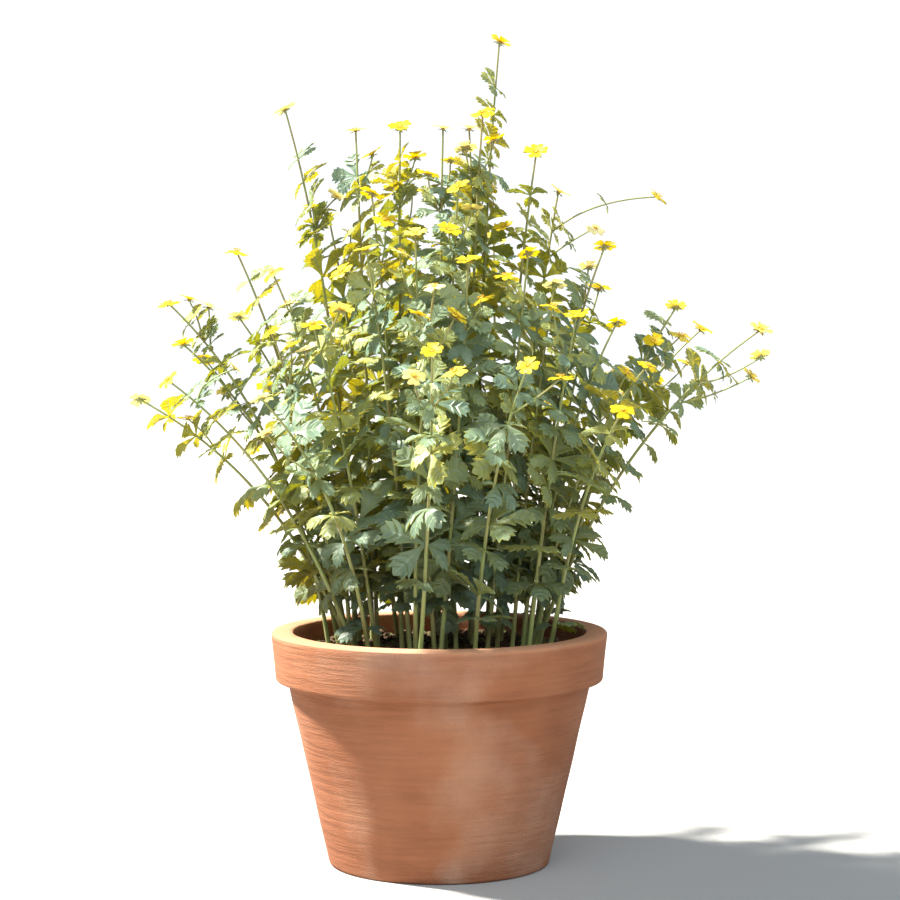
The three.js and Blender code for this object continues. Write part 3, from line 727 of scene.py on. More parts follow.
def leaflet_place(angle, length, droop, rng):
    """Where a point of one leaflet lies in its leaf: folded along its rib, pleated between its veins
    and arched down with the whole leaf"""
    side = math.radians(angle)
    fold = rng.uniform(*FOLD)
    twist = rng.uniform(*TWIST)
    wave = rng.uniform(*WAVE)
    phase = rng.uniform(0, 2 * math.pi)
    curl = rng.uniform(*CURL)

    def place(along, aside, sink):
        x = length * (along * math.cos(side) - aside * math.sin(side))
        y = length * (along * math.sin(side) + aside * math.cos(side))
        away = math.hypot(x, y)
        z = LEAF_RISE * away - droop * away * away
        z += fold * abs(aside) + twist * aside * along + PLEAT * sink * min(1, abs(aside) * 6)
        z += wave * math.sin(along * 9 + phase) * abs(aside) * 4 - curl * along**3
        return Vector((x, y, z))

    return place


def leaf_pattern(index):
    """Three toothed leaflets, one way out of several"""
    rng = random.Random(100 + index)
    droop = mix(*PATTERN_DROOP, (index + 0.5) / LEAF_PATTERNS)
    blades = Blades()
    for side in (-1, 0, 1):
        wide = rng.uniform(0.95, 1.14)
        rows = [(along, half * wide, lag, sink) for along, half, lag, sink in LEAFLET]
        angle = side * LEAFLET_ANGLE + rng.uniform(-6, 6)
        length = (SIDE_LEAFLET_LENGTH if side else 1) * rng.uniform(0.95, 1.04)
        blades.add(rows, leaflet_place(angle, length, droop, rng), LEAFLET_THICKNESS)
    return blades.mesh(f"leaf_{index}")


def stipule_pattern(index):
    rng = random.Random(200 + index)
    blades = Blades()
    for side in (-1, 1):
        angle = side * STIPULE_ANGLE + rng.uniform(-4, 4)
        length = STIPULE_LENGTH * rng.uniform(0.92, 1.04)
        blades.add(STIPULE, leaflet_place(angle, length, STIPULE_DROOP, rng), STIPULE_THICKNESS)
    return blades.mesh(f"stipules_{index}")


def petal_pattern(index):
    """Four notched petals, from flat to cupped"""
    rng = random.Random(300 + index)
    cup = mix(*PETAL_CUP, (index + 0.5) / PETAL_PATTERNS)
    start, rise = PETAL_ROOT
    blades = Blades()
    for quarter in range(4):
        turn = quarter * math.pi / 2 + rng.uniform(-0.05, 0.05)
        lift = cup + rng.uniform(-0.05, 0.2)
        tier = 0.02 * (quarter % 2)
        phase = rng.uniform(0, 2 * math.pi)

        def place(along, aside, _):
            away = math.hypot(along, aside)
            z = rise + tier + lift * away - PETAL_DROOP * away * away + 0.16 * aside * aside
            z += 0.045 * math.sin(aside * 10 + phase) * along**2
            return Matrix.Rotation(turn, 3, "Z") @ Vector((start + along, aside, z))

        blades.add(PETAL, place, PETAL_THICKNESS, PETAL_LINES, PETAL_BEND, None)
    return blades.mesh(f"petals_{index}")


def calyx_pattern(index):
    """Four sepals between the petals, four narrower ones under them, and the cup that they grow from"""
    rng = random.Random(400 + index)
    blades = Blades()
    for eighth in range(8):
        turn = eighth * math.pi / 4
        length, wide, lift = MAIN_SEPALS if eighth % 2 else LESSER_SEPALS
        rise = rng.uniform(-0.12, 0.12) + lift

        def place(along, aside, _):
            z = rise * along + 0.48 * aside * aside - 0.12 * along * along
            return Matrix.Rotation(turn, 3, "Z") @ Vector((0.1 + along * length, aside * wide, z))

        blades.add(SEPAL, place, SEPAL_THICKNESS)
    blades.gather(*turned(CUP, 8), 0.3)
    return blades.mesh(f"calyx_{index}")


def stamen_pattern(index):
    """A boss of pistils with a ring of stamens round it"""
    rng = random.Random(500 + index)
    blades = Blades()
    blades.gather(*turned(BOSS, 8), 0.9)
    for number in range(STAMENS):
        turn = 2 * math.pi * (number + rng.uniform(-0.3, 0.3)) / STAMENS
        reach = rng.uniform(0.2, 0.36)
        top = Vector((reach * math.cos(turn), reach * math.sin(turn), rng.uniform(0.24, 0.36)))
        foot = Vector((0.15 * math.cos(turn), 0.15 * math.sin(turn), 0.08))
        blades.gather(*thread(foot, top, 0.014), 0.6)
        blades.gather(*turned(ANTHER, 5), 0.1, top)
    return blades.mesh(f"stamens_{index}")


# Geometry node trees


def add_node(tree, kind, sockets=None, **settings):
    node = tree.nodes.new(kind)
    for name, value in settings.items():
        setattr(node, name, value)
    for name, value in (sockets or {}).items():
        if isinstance(value, bpy.types.NodeSocket):
            tree.links.new(value, node.inputs[name])
        else:
            node.inputs[name].default_value = value
    return node


def new_geometry_tree(name, inputs):
    """A node tree with named inputs, and what it is given"""
    tree = bpy.data.node_groups.new(name, "GeometryNodeTree")
    tree.interface.new_socket("Geometry", in_out="INPUT", socket_type="NodeSocketGeometry")
    for label, kind in inputs:
        tree.interface.new_socket(label, in_out="INPUT", socket_type=f"NodeSocket{kind}")
    tree.interface.new_socket("Geometry", in_out="OUTPUT", socket_type="NodeSocketGeometry")
    return tree, add_node(tree, "NodeGroupInput").outputs


def close_tree(tree, geometry, material):
    """Ends a tree: real geometry with its material"""
    real = add_node(tree, "GeometryNodeRealizeInstances", {"Geometry": geometry})
    finish = add_node(tree, "GeometryNodeSetMaterial", {"Geometry": real.outputs[0], "Material": material})
    add_node(tree, "NodeGroupOutput", {"Geometry": finish.outputs[0]})
    return tree


def named_attribute(tree, name, kind):
    return add_node(tree, "GeometryNodeInputNamedAttribute", {"Name": name}, data_type=kind).outputs[0]


def stalk_tree():
    """Round stalks along lines, each as thick as its points say"""
    tree, given = new_geometry_tree("stalks", (("Sides", "Int"), ("Material", "Material")))
    lines = add_node(tree, "GeometryNodeMeshToCurve", {"Mesh": given["Geometry"]})
    outline = add_node(tree, "GeometryNodeCurvePrimitiveCircle", {"Resolution": given["Sides"], "Radius": 1})
    stalks = add_node(tree, "GeometryNodeCurveToMesh", {
        "Curve": lines.outputs[0],
        "Profile Curve": outline.outputs[0],
        "Scale": named_attribute(tree, "thickness", "FLOAT"),
        "Fill Caps": True,
    })
    smooth = add_node(tree, "GeometryNodeSetShadeSmooth", {"Geometry": stalks.outputs[0]})
    return close_tree(tree, smooth.outputs[0], given["Material"])


def shelf_patterns(tree, given):
    """The patterns on the shelf that a tree is given, one by one"""
    return add_node(tree, "GeometryNodeCollectionInfo", {
        "Collection": given["Patterns"], "Separate Children": True, "Reset Children": True,
    }).outputs[0]


def scatter_tree():
    """A pattern at each point, turned, sized and chosen as the point says"""
    tree, given = new_geometry_tree("scatter", (("Patterns", "Collection"), ("Material", "Material")))
    turn = add_node(
        tree, "FunctionNodeEulerToRotation", {"Euler": named_attribute(tree, "turn", "FLOAT_VECTOR")}
    )
    placed = add_node(tree, "GeometryNodeInstanceOnPoints", {
        "Points": given["Geometry"],
        "Instance": shelf_patterns(tree, given),
        "Pick Instance": True,
        "Instance Index": named_attribute(tree, "kind", "INT"),
        "Rotation": turn.outputs[0],
        "Scale": named_attribute(tree, "size", "FLOAT"),
    })
    return close_tree(tree, placed.outputs[0], given["Material"])


def strewn_tree():
    """Patterns strewn over a surface by a seeded rule, each turned any way and of any size in a range"""
    tree, given = new_geometry_tree("strewn", (
        ("Patterns", "Collection"), ("Density", "Float"), ("Gap", "Float"), ("Smallest", "Float"),
        ("Largest", "Float"), ("Tilt", "Float"), ("Seed", "Int"), ("Material", "Material"),
    ))
    points = add_node(tree, "GeometryNodeDistributePointsOnFaces", {
        "Mesh": given["Geometry"],
        "Distance Min": given["Gap"],
        "Density Max": given["Density"],
        "Seed": given["Seed"],
    }, distribute_method="POISSON")
    size = add_node(tree, "FunctionNodeRandomValue", {
        2: given["Smallest"], 3: given["Largest"], "Seed": given["Seed"],
    }, data_type="FLOAT")
    most = add_node(tree, "ShaderNodeCombineXYZ", {"X": given["Tilt"], "Y": given["Tilt"], "Z": math.pi})
    least = add_node(
        tree, "ShaderNodeVectorMath", {0: most.outputs[0], 1: (-1, -1, -1)}, operation="MULTIPLY"
    )
    turn = add_node(
        tree, "FunctionNodeRandomValue", {0: least.outputs[0], 1: most.outputs[0]}, data_type="FLOAT_VECTOR"
    )
    tilt = add_node(tree, "FunctionNodeEulerToRotation", {"Euler": turn.outputs[0]})
    turned_points = add_node(tree, "FunctionNodeRotateRotation", {
        "Rotation": points.outputs["Rotation"], "Rotate By": tilt.outputs[0],
    }, rotation_space="LOCAL")
    placed = add_node(tree, "GeometryNodeInstanceOnPoints", {
        "Points": points.outputs["Points"],
        "Instance": shelf_patterns(tree, given),
        "Pick Instance": True,
        "Rotation": turned_points.outputs[0],
        "Scale": size.outputs[1],
    })
    return close_tree(tree, placed.outputs[0], given["Material"])


def made_by(tree, name, source, **inputs):
    """The plain mesh that a tree makes of a source object, as a new object"""
    modifier = source.modifiers.new("maker", "NODES")
    modifier.node_group = tree
    labels = {item.name: item.identifier for item in tree.interface.items_tree if item.in_out == "INPUT"}
    for label, value in inputs.items():
        modifier[labels[label.replace("_", " ")]] = value
    shown = source.evaluated_get(bpy.context.evaluated_depsgraph_get())
    mesh = bpy.data.meshes.new_from_object(shown)
    mesh.name = name
    source.modifiers.remove(modifier)
    return new_object(name, mesh)


def pattern_shelf(name, meshes):
    """A collection that holds patterns to repeat, in the order given"""
    shelf = bpy.data.collections.new(name)
    for number, mesh in enumerate(meshes):
        new_object(f"{name}_{number:02d}", mesh, shelf)
    return shelf


def clear_away(*things):
    for thing in things:
        if isinstance(thing, bpy.types.Collection):
            clear_away(*thing.objects)
            bpy.data.collections.remove(thing)
        else:
            bpy.data.objects.remove(thing)


SCATTER = scatter_tree()
STALKS = stalk_tree()
STREWN = strewn_tree()


def scatter(name, placements, shelf, material):
    """One mesh of patterns: placements are (pattern, at, out, across, up, size, shade)"""
    mesh = bpy.data.meshes.new(name + "_points")
    mesh.from_pydata([tuple(at * MM) for _, at, *_ in placements], [], [])
    turns = []
    for _, _, out, across, up, _, _ in placements:
        turns.extend(Matrix((out, across, up)).transposed().to_euler())
    for label, kind, field, values in (
        ("kind", "INT", "value", [pattern for pattern, *_ in placements]),
        ("turn", "FLOAT_VECTOR", "vector", turns),
        ("size", "FLOAT", "value", [size * MM for *_, size, _ in placements]),
        ("shade", "FLOAT", "value", [shade for *_, shade in placements]),
    ):
        mesh.attributes.new(label, kind, "POINT").data.foreach_set(field, values)
    points = new_object(name + "_points", mesh)
    made = made_by(SCATTER, name, points, Patterns=shelf, Material=material)
    clear_away(points)
    return made


# Materials

# Leaf colours, shaded and sunlit where there are two: painted light and shade that each leaf mixes by its
# shade value.
# Painted shade darkens the leaves between two heights over the soil, as if they were in the shade of the
# clump.
LEAF_TOP = ((0.15, 0.3, 0.29), (0.33, 0.42, 0.1))
LEAF_UNDER = ((0.28, 0.33, 0.08), (0.5, 0.47, 0.04))
LEAF_THROUGH = ((0.66, 0.66, 0.02), (0.97, 0.82, 0.03))
LEAF_PATCH = (0.24, 0.33, 0.14)
LEAF_VEIN = (0.5, 0.6, 0.42)
LEAF_VEIN_THROUGH = (0.16, 0.18, 0.02)
LEAF_PAINTED_SHADE = (0.045, 0.1, 0.07)
LEAF_PAINTED_SHADE_THROUGH = (0.4, 0.4, 0.02)
LEAF_SHEEN = (0.8, 0.9, 1.0, 1.0)
PAINTED_SHADE_HEIGHTS = (110, 10)

# Petals are yellow, a few are paler with painted light, and all are deeper at the claw
PETAL_COLOURS = ((0.68, 0.53, 0.008), (0.84, 0.79, 0.5))
PETAL_THROUGH = ((0.97, 0.86, 0.01), (0.96, 0.9, 0.5))
PETAL_CLAW = (0.78, 0.42, 0.01)
PETAL_CLAW_THROUGH = (0.9, 0.55, 0.01)
PETAL_VEIN = (0.78, 0.55, 0.01)
STAMEN_COLOURS = ((0.78, 0.46, 0.015), (0.62, 0.56, 0.08))
STAMEN_SPECK = (0.45, 0.17, 0.01)

STALK_COLOURS = ((0.25, 0.31, 0.085), (0.17, 0.19, 0.05))
STALK_TINT = (0.3, 0.17, 0.07)
STALK_STREAK = (0.36, 0.4, 0.14)
STALK_RISE = 300
HAIR_COLOURS = ((0.5, 0.55, 0.3), (0.62, 0.66, 0.42))
MOSS_COLOURS = ((0.1, 0.19, 0.04), (0.22, 0.3, 0.06))
EARTH_COLOURS = ((0.075, 0.042, 0.024), (0.13, 0.08, 0.045))
CRUMB_COLOURS = ((0.06, 0.034, 0.02), (0.17, 0.11, 0.065))

CLAY_COLOURS = ((0.23, 0.082, 0.037), (0.3, 0.12, 0.058))
CLAY_BAND = (0.38, 0.14, 0.065)
CLAY_BLOOM = (0.72, 0.56, 0.44)
CLAY_SPECK = (0.25, 0.1, 0.05)
CLAY_RUBBED = (0.68, 0.38, 0.22)
RUBBED_EDGE = 3
DAMP_FOOT = 0.03


def new_material(name):
    material = bpy.data.materials.new(name)
    material.use_nodes = True
    material.node_tree.nodes.clear()
    return material, material.node_tree


def new_shader_group(name, inputs, outputs):
    """A shader group with named inputs and outputs, and what it is given"""
    tree = bpy.data.node_groups.new(name, "ShaderNodeTree")
    for label, kind, value in inputs:
        socket = tree.interface.new_socket(label, in_out="INPUT", socket_type=f"NodeSocket{kind}")
        if value is not None:
            socket.default_value = value
    for label in outputs:
        tree.interface.new_socket(label, in_out="OUTPUT", socket_type="NodeSocketFloat")
    return tree, add_node(tree, "NodeGroupInput").outputs


def maths(tree, operation, first, second=0.5):
    return add_node(tree, "ShaderNodeMath", {0: first, 1: second}, operation=operation).outputs[0]


def times(tree, first, second):
    return maths(tree, "MULTIPLY", first, second)


def blend_colour(tree, share, first, second):
    ends = [(*end, 1) if isinstance(end, tuple) else end for end in (first, second)]
    return add_node(
        tree, "ShaderNodeMix", {0: share, 6: ends[0], 7: ends[1]}, data_type="RGBA"
    ).outputs[2]


def tinted(tree, colour, tint, mask, most):
    """A colour under a tint that covers it up to a share where a mask is"""
    return blend_colour(tree, times(tree, mask, most), colour, tint)


def ramp(tree, value, low, high):
    return add_node(
        tree, "ShaderNodeMapRange", {"Value": value, "From Min": low, "From Max": high}, clamp=True
    ).outputs[0]


def attribute_node(tree, name):
    return add_node(tree, "ShaderNodeAttribute", attribute_name=name).outputs


def parts_of(tree, vector):
    return add_node(tree, "ShaderNodeSeparateXYZ", {0: vector}).outputs


def object_place(tree):
    return add_node(tree, "ShaderNodeTexCoord").outputs["Object"]


def object_height(tree):
    return parts_of(tree, object_place(tree))[2]


def mottle_group():
    """Soft patches from 0 to 1, in object space"""
    tree, given = new_shader_group("mottle", (
        ("Scale", "Float", 40.0), ("Detail", "Float", 3.0), ("Stretch", "Float", 1.0),
        ("Low", "Float", 0.35), ("High", "Float", 0.65),
    ), ("Mask",))
    stretch = add_node(tree, "ShaderNodeCombineXYZ", {"X": 1, "Y": 1, "Z": given["Stretch"]})
    scaled = add_node(
        tree, "ShaderNodeVectorMath", {0: object_place(tree), 1: stretch.outputs[0]}, operation="MULTIPLY"
    )
    patches = add_node(tree, "ShaderNodeTexNoise", {
        "Vector": scaled.outputs[0], "Scale": given["Scale"], "Detail": given["Detail"],
    })
    add_node(tree, "NodeGroupOutput", {"Mask": ramp(tree, patches.outputs[0], given["Low"], given["High"])})
    return tree


def vein_group():
    """Rib and side veins of a blade, as a mask and a height"""
    tree, given = new_shader_group("veins", (
        ("Blade", "Vector", None), ("Count", "Float", 5.2),
        ("Slant", "Float", 0.37), ("Start", "Float", 0.06),
    ), ("Mask", "Height"))
    across, along, _ = parts_of(tree, given["Blade"])
    aside = maths(tree, "ABSOLUTE", across)
    rib = ramp(tree, aside, 0.13, 0.04)
    lean = times(tree, aside, given["Slant"])
    run = maths(tree, "SUBTRACT", maths(tree, "SUBTRACT", along, lean), given["Start"])
    wave = maths(tree, "PINGPONG", times(tree, run, given["Count"]), 0.5)
    side = maths(tree, "SUBTRACT", 1.0, ramp(tree, wave, 0.02, 0.15))
    side = times(tree, side, ramp(tree, along, 0.1, 0.3))
    mask = maths(tree, "MAXIMUM", rib, times(tree, side, 0.7))
    add_node(tree, "NodeGroupOutput", {"Mask": mask, "Height": maths(tree, "SUBTRACT", 1.0, mask)})
    return tree


MOTTLE = mottle_group()
VEINS = vein_group()


def mottle(tree, scale, low=0.35, high=0.65, detail=3.0, stretch=1.0):
    return add_node(tree, "ShaderNodeGroup", {
        "Scale": scale, "Detail": detail, "Stretch": stretch, "Low": low, "High": high,
    }, node_tree=MOTTLE).outputs[0]


def surface(tree, colour, roughness, normal=None, through=None, share=0.0, **settings):
    """The shader at the end of a material, which lets light through where a colour for that is given"""
    skin = add_node(tree, "ShaderNodeBsdfPrincipled", {"Base Color": colour, "Roughness": roughness})
    for label, value in settings.items():
        skin.inputs[label.replace("_", " ")].default_value = value
    if normal is not None:
        tree.links.new(normal, skin.inputs["Normal"])
    end = skin.outputs[0]
    if through is not None:
        glow = add_node(tree, "ShaderNodeBsdfTranslucent", {"Color": through})
        end = add_node(tree, "ShaderNodeMixShader", {0: share, 1: end, 2: glow.outputs[0]}).outputs[0]
    add_node(tree, "ShaderNodeOutputMaterial", {"Surface": end})


def bumped(tree, height, strength, distance):
    return add_node(
        tree, "ShaderNodeBump", {"Height": height, "Strength": strength, "Distance": distance}
    ).outputs[0]


def leaf_material():
    """Blue-green above and paler below, with sunk veins, yellower where the light comes through, with painted
    light and shade mixed for each leaf and painted shade on low leaves
    """
    material, tree = new_material("leaf_blade")
    shade = attribute_node(tree, "shade")["Fac"]
    blade = attribute_node(tree, "blade")["Vector"]
    veins = add_node(tree, "ShaderNodeGroup", {"Blade": blade}, node_tree=VEINS).outputs
    # Painted light and shade: each leaf mixes a shaded and a sunlit colour by its shade value
    top = blend_colour(tree, shade, *LEAF_TOP)
    top = tinted(tree, top, LEAF_PATCH, mottle(tree, 90, 0.3, 0.7), 0.3)
    under = blend_colour(tree, shade, *LEAF_UNDER)
    colour = blend_colour(tree, parts_of(tree, blade)[2], top, under)
    # Painted shade: low leaves are darkened, as if in the shade of the clump
    low = ramp(tree, object_height(tree), *((SOIL_LEVEL + height) * MM for height in PAINTED_SHADE_HEIGHTS))
    colour = tinted(tree, colour, LEAF_PAINTED_SHADE, low, 0.8)
    colour = tinted(tree, colour, LEAF_VEIN, veins["Mask"], 0.6)
    through = blend_colour(tree, shade, *LEAF_THROUGH)
    # Painted shade also dims the light that comes through low leaves
    through = tinted(tree, through, LEAF_PAINTED_SHADE_THROUGH, low, 0.4)
    through = tinted(tree, through, LEAF_VEIN_THROUGH, veins["Mask"], 0.5)
    normal = bumped(tree, veins["Height"], 0.5, 0.0004)
    surface(
        tree, colour, 0.42, normal, through, 0.5, Sheen_Weight=0.08, Sheen_Roughness=0.5,
        Sheen_Tint=LEAF_SHEEN, Specular_IOR_Level=0.7,
    )
    return material


def petal_material():
    """Clear yellow, paler with painted light on a few flowers, deeper towards the claw, with fine veins that
    fan out
    """
    material, tree = new_material("petal")
    aside, along, _ = parts_of(tree, attribute_node(tree, "blade")["Vector"])
    lines = maths(tree, "PINGPONG", times(tree, aside, 5.0), 0.5)
    veins = times(tree, ramp(tree, lines, 0.18, 0.0), ramp(tree, along, 1.0, 0.4))
    # Painted light: the share of a pale colour that a few flowers take at random
    painted_light_share = ramp(tree, attribute_node(tree, "shade")["Fac"], 0.6, 0.85)
    claw = ramp(tree, along, 0.2, 0.0)
    colour = blend_colour(tree, claw, blend_colour(tree, painted_light_share, *PETAL_COLOURS), PETAL_CLAW)
    colour = tinted(tree, colour, PETAL_VEIN, veins, 0.2)
    through = blend_colour(tree, claw, blend_colour(tree, painted_light_share, *PETAL_THROUGH), PETAL_CLAW_THROUGH)
    normal = bumped(tree, veins, 0.3, 0.0002)
    surface(tree, colour, 0.42, normal, through, 0.45, Sheen_Weight=0.08, Specular_IOR_Level=0.35)
    return material


def stamen_material():
    material, tree = new_material("stamen")
    along = parts_of(tree, attribute_node(tree, "blade")["Vector"])[1]
    colour = blend_colour(tree, along, *STAMEN_COLOURS)
    colour = tinted(tree, colour, STAMEN_SPECK, mottle(tree, 2500), 0.4)
    surface(tree, colour, 0.6, bumped(tree, mottle(tree, 6000), 0.4, 0.0001))
    return material


def stalk_material():
    """Green, browner and redder higher up and in streaks, with a soft bloom of hair"""
    material, tree = new_material("leafy_stem")
    high = ramp(tree, object_height(tree), SOIL_LEVEL * MM, (SOIL_LEVEL + STALK_RISE) * MM)
    streaks = mottle(tree, 700, 0.35, 0.7, 2.0, 0.08)
    colour = blend_colour(tree, high, *STALK_COLOURS)
    colour = tinted(tree, colour, STALK_TINT, mottle(tree, 45, 0.4, 0.62), 0.45)
    colour = tinted(tree, colour, STALK_STREAK, streaks, 0.3)
    normal = bumped(tree, streaks, 0.4, 0.0002)
    surface(tree, colour, 0.5, normal, Sheen_Weight=0.2, Sheen_Roughness=0.4)
    return material


def clay_material():
    """Fired clay with turning marks, a grainy face, paler rubbed edges and a lime bloom"""
    material, tree = new_material("fired_clay")
    height = object_height(tree)
    bands = mottle(tree, 30, 0.4, 0.6, 2.0, 14.0)
    colour = blend_colour(tree, mottle(tree, 22, 0.35, 0.68, 4.0), *CLAY_COLOURS)
    colour = tinted(tree, colour, CLAY_BAND, bands, 0.25)
    most_bloom = maths(tree, "MAXIMUM", times(tree, ramp(tree, height, DAMP_FOOT, 0.0), 0.5), 0.22)
    colour = tinted(tree, colour, CLAY_BLOOM, mottle(tree, 16, 0.5, 0.75, 6.0), most_bloom)
    colour = tinted(tree, colour, CLAY_SPECK, mottle(tree, 900, 0.6, 0.72, 2.0), 0.5)
    edge = ramp(tree, height, (POT_HEIGHT - RUBBED_EDGE) * MM, POT_HEIGHT * MM)
    colour = tinted(tree, colour, CLAY_RUBBED, edge, 0.35)
    grain = maths(tree, "ADD", mottle(tree, 1400, 0.3, 0.7, 2.0), times(tree, bands, 1.2))
    surface(tree, colour, 0.86, bumped(tree, grain, 0.55, 0.0003), Specular_IOR_Level=0.3)
    return material


def earth_material(name, dark, light):
    """Crumbly damp soil with paler dry specks"""
    material, tree = new_material(name)
    grains = mottle(tree, 520, 0.4, 0.62, 4.0)
    colour = blend_colour(tree, mottle(tree, 60, 0.35, 0.65, 5.0), dark, light)
    colour = tinted(tree, colour, tuple(value * 0.35 for value in dark), grains, 0.5)
    surface(tree, colour, 0.92, bumped(tree, grains, 0.8, 0.0006), Specular_IOR_Level=0.25)
    return material


def plain_material(name, first, second, roughness):
    """Two near colours in soft patches, for small things"""
    material, tree = new_material(name)
    colour = blend_colour(tree, mottle(tree, 60), first, second)
    surface(tree, colour, roughness, Specular_IOR_Level=0.3)
    return material


# Pot and soil

POT_SIDES = 144
POT_EDGES = (2.2, 1.0, 1.6, 2.2, 2.2, 3, 3)
POT_EDGE_STEPS = 3
POT_SPACING = 3.4
POT_SHARP = 38
COLLAR_LIP = 1.2
DRAIN_FLARE = 1.6
DRAIN_SIDES = 32
SOIL_SIDES = 150
SOIL_RINGS = 66
SOIL_EDGE_ON_LEDGE = 0.646
SOIL_FACE_DROP = 4
CRUMBS = 5
CRUMB_FLATNESS = 0.8
CRUMB_ROUGHNESS = 0.55
TUFTS = 4
TUFT_SPIKES = 6
SPIKE_RADIUS = 0.05
SPIKE_SUNK = 0.06


def inner_radius(height):
    return mix(POT_BASE_RADIUS, POT_TOP_RADIUS, height / COLLAR_FOOT) - POT_WALL


def rounded(profile, radii, steps):
    """A profile with its corners rounded by arcs of the radii given, in order"""
    points = [Vector(profile[0])]
    for before, corner, after, radius in zip(profile, profile[1:], profile[2:], radii):
        here = Vector(corner)
        back, ahead = (Vector(before) - here), (Vector(after) - here)
        half = back.angle(ahead) / 2
        reach = min(radius / math.tan(half), back.length * 0.45, ahead.length * 0.45)
        first, last = here + back.normalized() * reach, here + ahead.normalized() * reach
        for step in range(steps + 1):
            share = step / steps
            points.append(first.lerp(here, share).lerp(here.lerp(last, share), share))
    points.append(Vector(profile[-1]))
    return points


def finely_spaced(points, gap):
    """The same profile with no two points further apart than a gap"""
    result = [points[0]]
    for start, end in zip(points, points[1:]):
        steps = max(1, math.ceil((end - start).length / gap))
        result.extend(start.lerp(end, step / steps) for step in range(1, steps + 1))
    return result


def lathe(name, profile, sides, shift=None):
    """A turned mesh in metres"""
    return new_mesh(name, *turned(profile, sides, MM, shift))


def cut_by(target, cutters):
    """Cuts closed objects out of a target and gives the result as a plain mesh"""
    for cutter in cutters:
        modifier = target.modifiers.new("cut", "BOOLEAN")
        modifier.object = cutter
        modifier.operation = "DIFFERENCE"
        modifier.solver = "EXACT"
    shown = target.evaluated_get(bpy.context.evaluated_depsgraph_get())
    mesh = bpy.data.meshes.new_from_object(shown)
    target.modifiers.clear()
    target.data = mesh
    clear_away(*cutters)


def turning_marks(turn, height, radius):
    """How far the pot's wall stands out at a point: fine rings and a slow unevenness"""
    rings = 0.07 * math.sin(height * 2.1 + 0.6 * math.sin(turn)) * (radius > 20)
    place = Vector((math.cos(turn) * 1.3, math.sin(turn) * 1.3, height * 0.03))
    return rings + 0.28 * noise.noise(place) * (radius > 20)


def drain_cutters():
    """What the drain holes are cut with, each a little wider at both ends"""
    wide = DRAIN_RADIUS + DRAIN_FLARE
    flare = [
        (0, -2), (wide, -2), (DRAIN_RADIUS + 1.4, -0.1), (DRAIN_RADIUS, 1.5),
        (DRAIN_RADIUS, POT_FLOOR - 1.2), (wide, POT_FLOOR + 1), (0, POT_FLOOR + 1),
    ]
    cutters = []
    for hole in range(DRAIN_HOLES):
        around = (hole + 0.25) * 2 * math.pi / DRAIN_HOLES
        cutter = new_object(f"drill_{hole}", lathe("drill", flare, DRAIN_SIDES))
        way = Vector((math.cos(around), math.sin(around), 0)) * DRAIN_CIRCLE * MM
        cutter.data.transform(Matrix.Translation(way))
        cutters.append(cutter)
    return cutters


def make_pot(material):
    inside = inner_radius(COLLAR_FOOT)
    profile = [
        (0, 0), (POT_BASE_RADIUS, 0), (POT_TOP_RADIUS, COLLAR_FOOT),
        (COLLAR_RADIUS - COLLAR_TAPER, COLLAR_FOOT + COLLAR_LIP), (COLLAR_RADIUS, POT_HEIGHT),
        (inside + LEDGE_WIDTH, POT_HEIGHT), (inside, COLLAR_FOOT - LEDGE_DROP),
        (inner_radius(POT_FLOOR), POT_FLOOR), (0, POT_FLOOR),
    ]
    points = finely_spaced(rounded(profile, POT_EDGES, POT_EDGE_STEPS), POT_SPACING)
    pot = new_object("clay_pot", lathe("clay_pot", points, POT_SIDES, turning_marks))
    cut_by(pot, drain_cutters())
    pot.data.polygons.foreach_set("use_smooth", [True] * len(pot.data.polygons))
    pot.data.set_sharp_from_angle(angle=math.radians(POT_SHARP))
    pot.data.materials.clear()
    pot.data.materials.append(material)
    return pot


def make_soil(material):
    """The ball of earth: a bumpy top with sunk and heaped places, and plain sides and bottom"""
    edge = inner_radius(COLLAR_FOOT) + LEDGE_WIDTH * SOIL_EDGE_ON_LEDGE
    floor = POT_FLOOR + FIT_GAP
    profile = [
        (0, floor), (inner_radius(POT_FLOOR) - 2 * FIT_GAP, floor),
        (inner_radius(COLLAR_FOOT) - FIT_GAP, COLLAR_FOOT - LEDGE_DROP),
        *((edge * (1 - ring / SOIL_RINGS), SOIL_LEVEL) for ring in range(SOIL_RINGS)), (0, SOIL_LEVEL),
    ]
    mesh = lathe("soil_ball", profile, SOIL_SIDES)
    for corner in mesh.vertices:
        x, y, z = corner.co / MM
        if z < SOIL_LEVEL - 0.01:
            continue
        rough = noise.fractal(Vector((x, y, 0)) * 0.16, 1.0, 2.0, 4)
        fine = noise.noise(Vector((x, y, 7)) * 0.75)
        corner.co.z = (soil_height(x, y) + 1.3 * rough + 0.45 * fine) * MM
    soil = new_object("soil_ball", mesh)
    mesh.materials.append(material)
    return soil


def crumb_mesh(index):
    """A lump of unit size, roughened by noise"""
    rng = random.Random(600 + index)
    made = bpy.data.meshes.new(f"crumb_{index}")
    shape = bmesh.new()
    bmesh.ops.create_icosphere(shape, subdivisions=1, radius=0.5)
    offset = Vector((rng.uniform(0, 50), rng.uniform(0, 50), rng.uniform(0, 50)))
    for corner in shape.verts:
        corner.co *= 1 + CRUMB_ROUGHNESS * noise.noise(corner.co * 3.2 + offset)
        corner.co.z *= CRUMB_FLATNESS
    shape.to_mesh(made)
    shape.free()
    made.polygons.foreach_set("use_smooth", [True] * len(made.polygons))
    return made


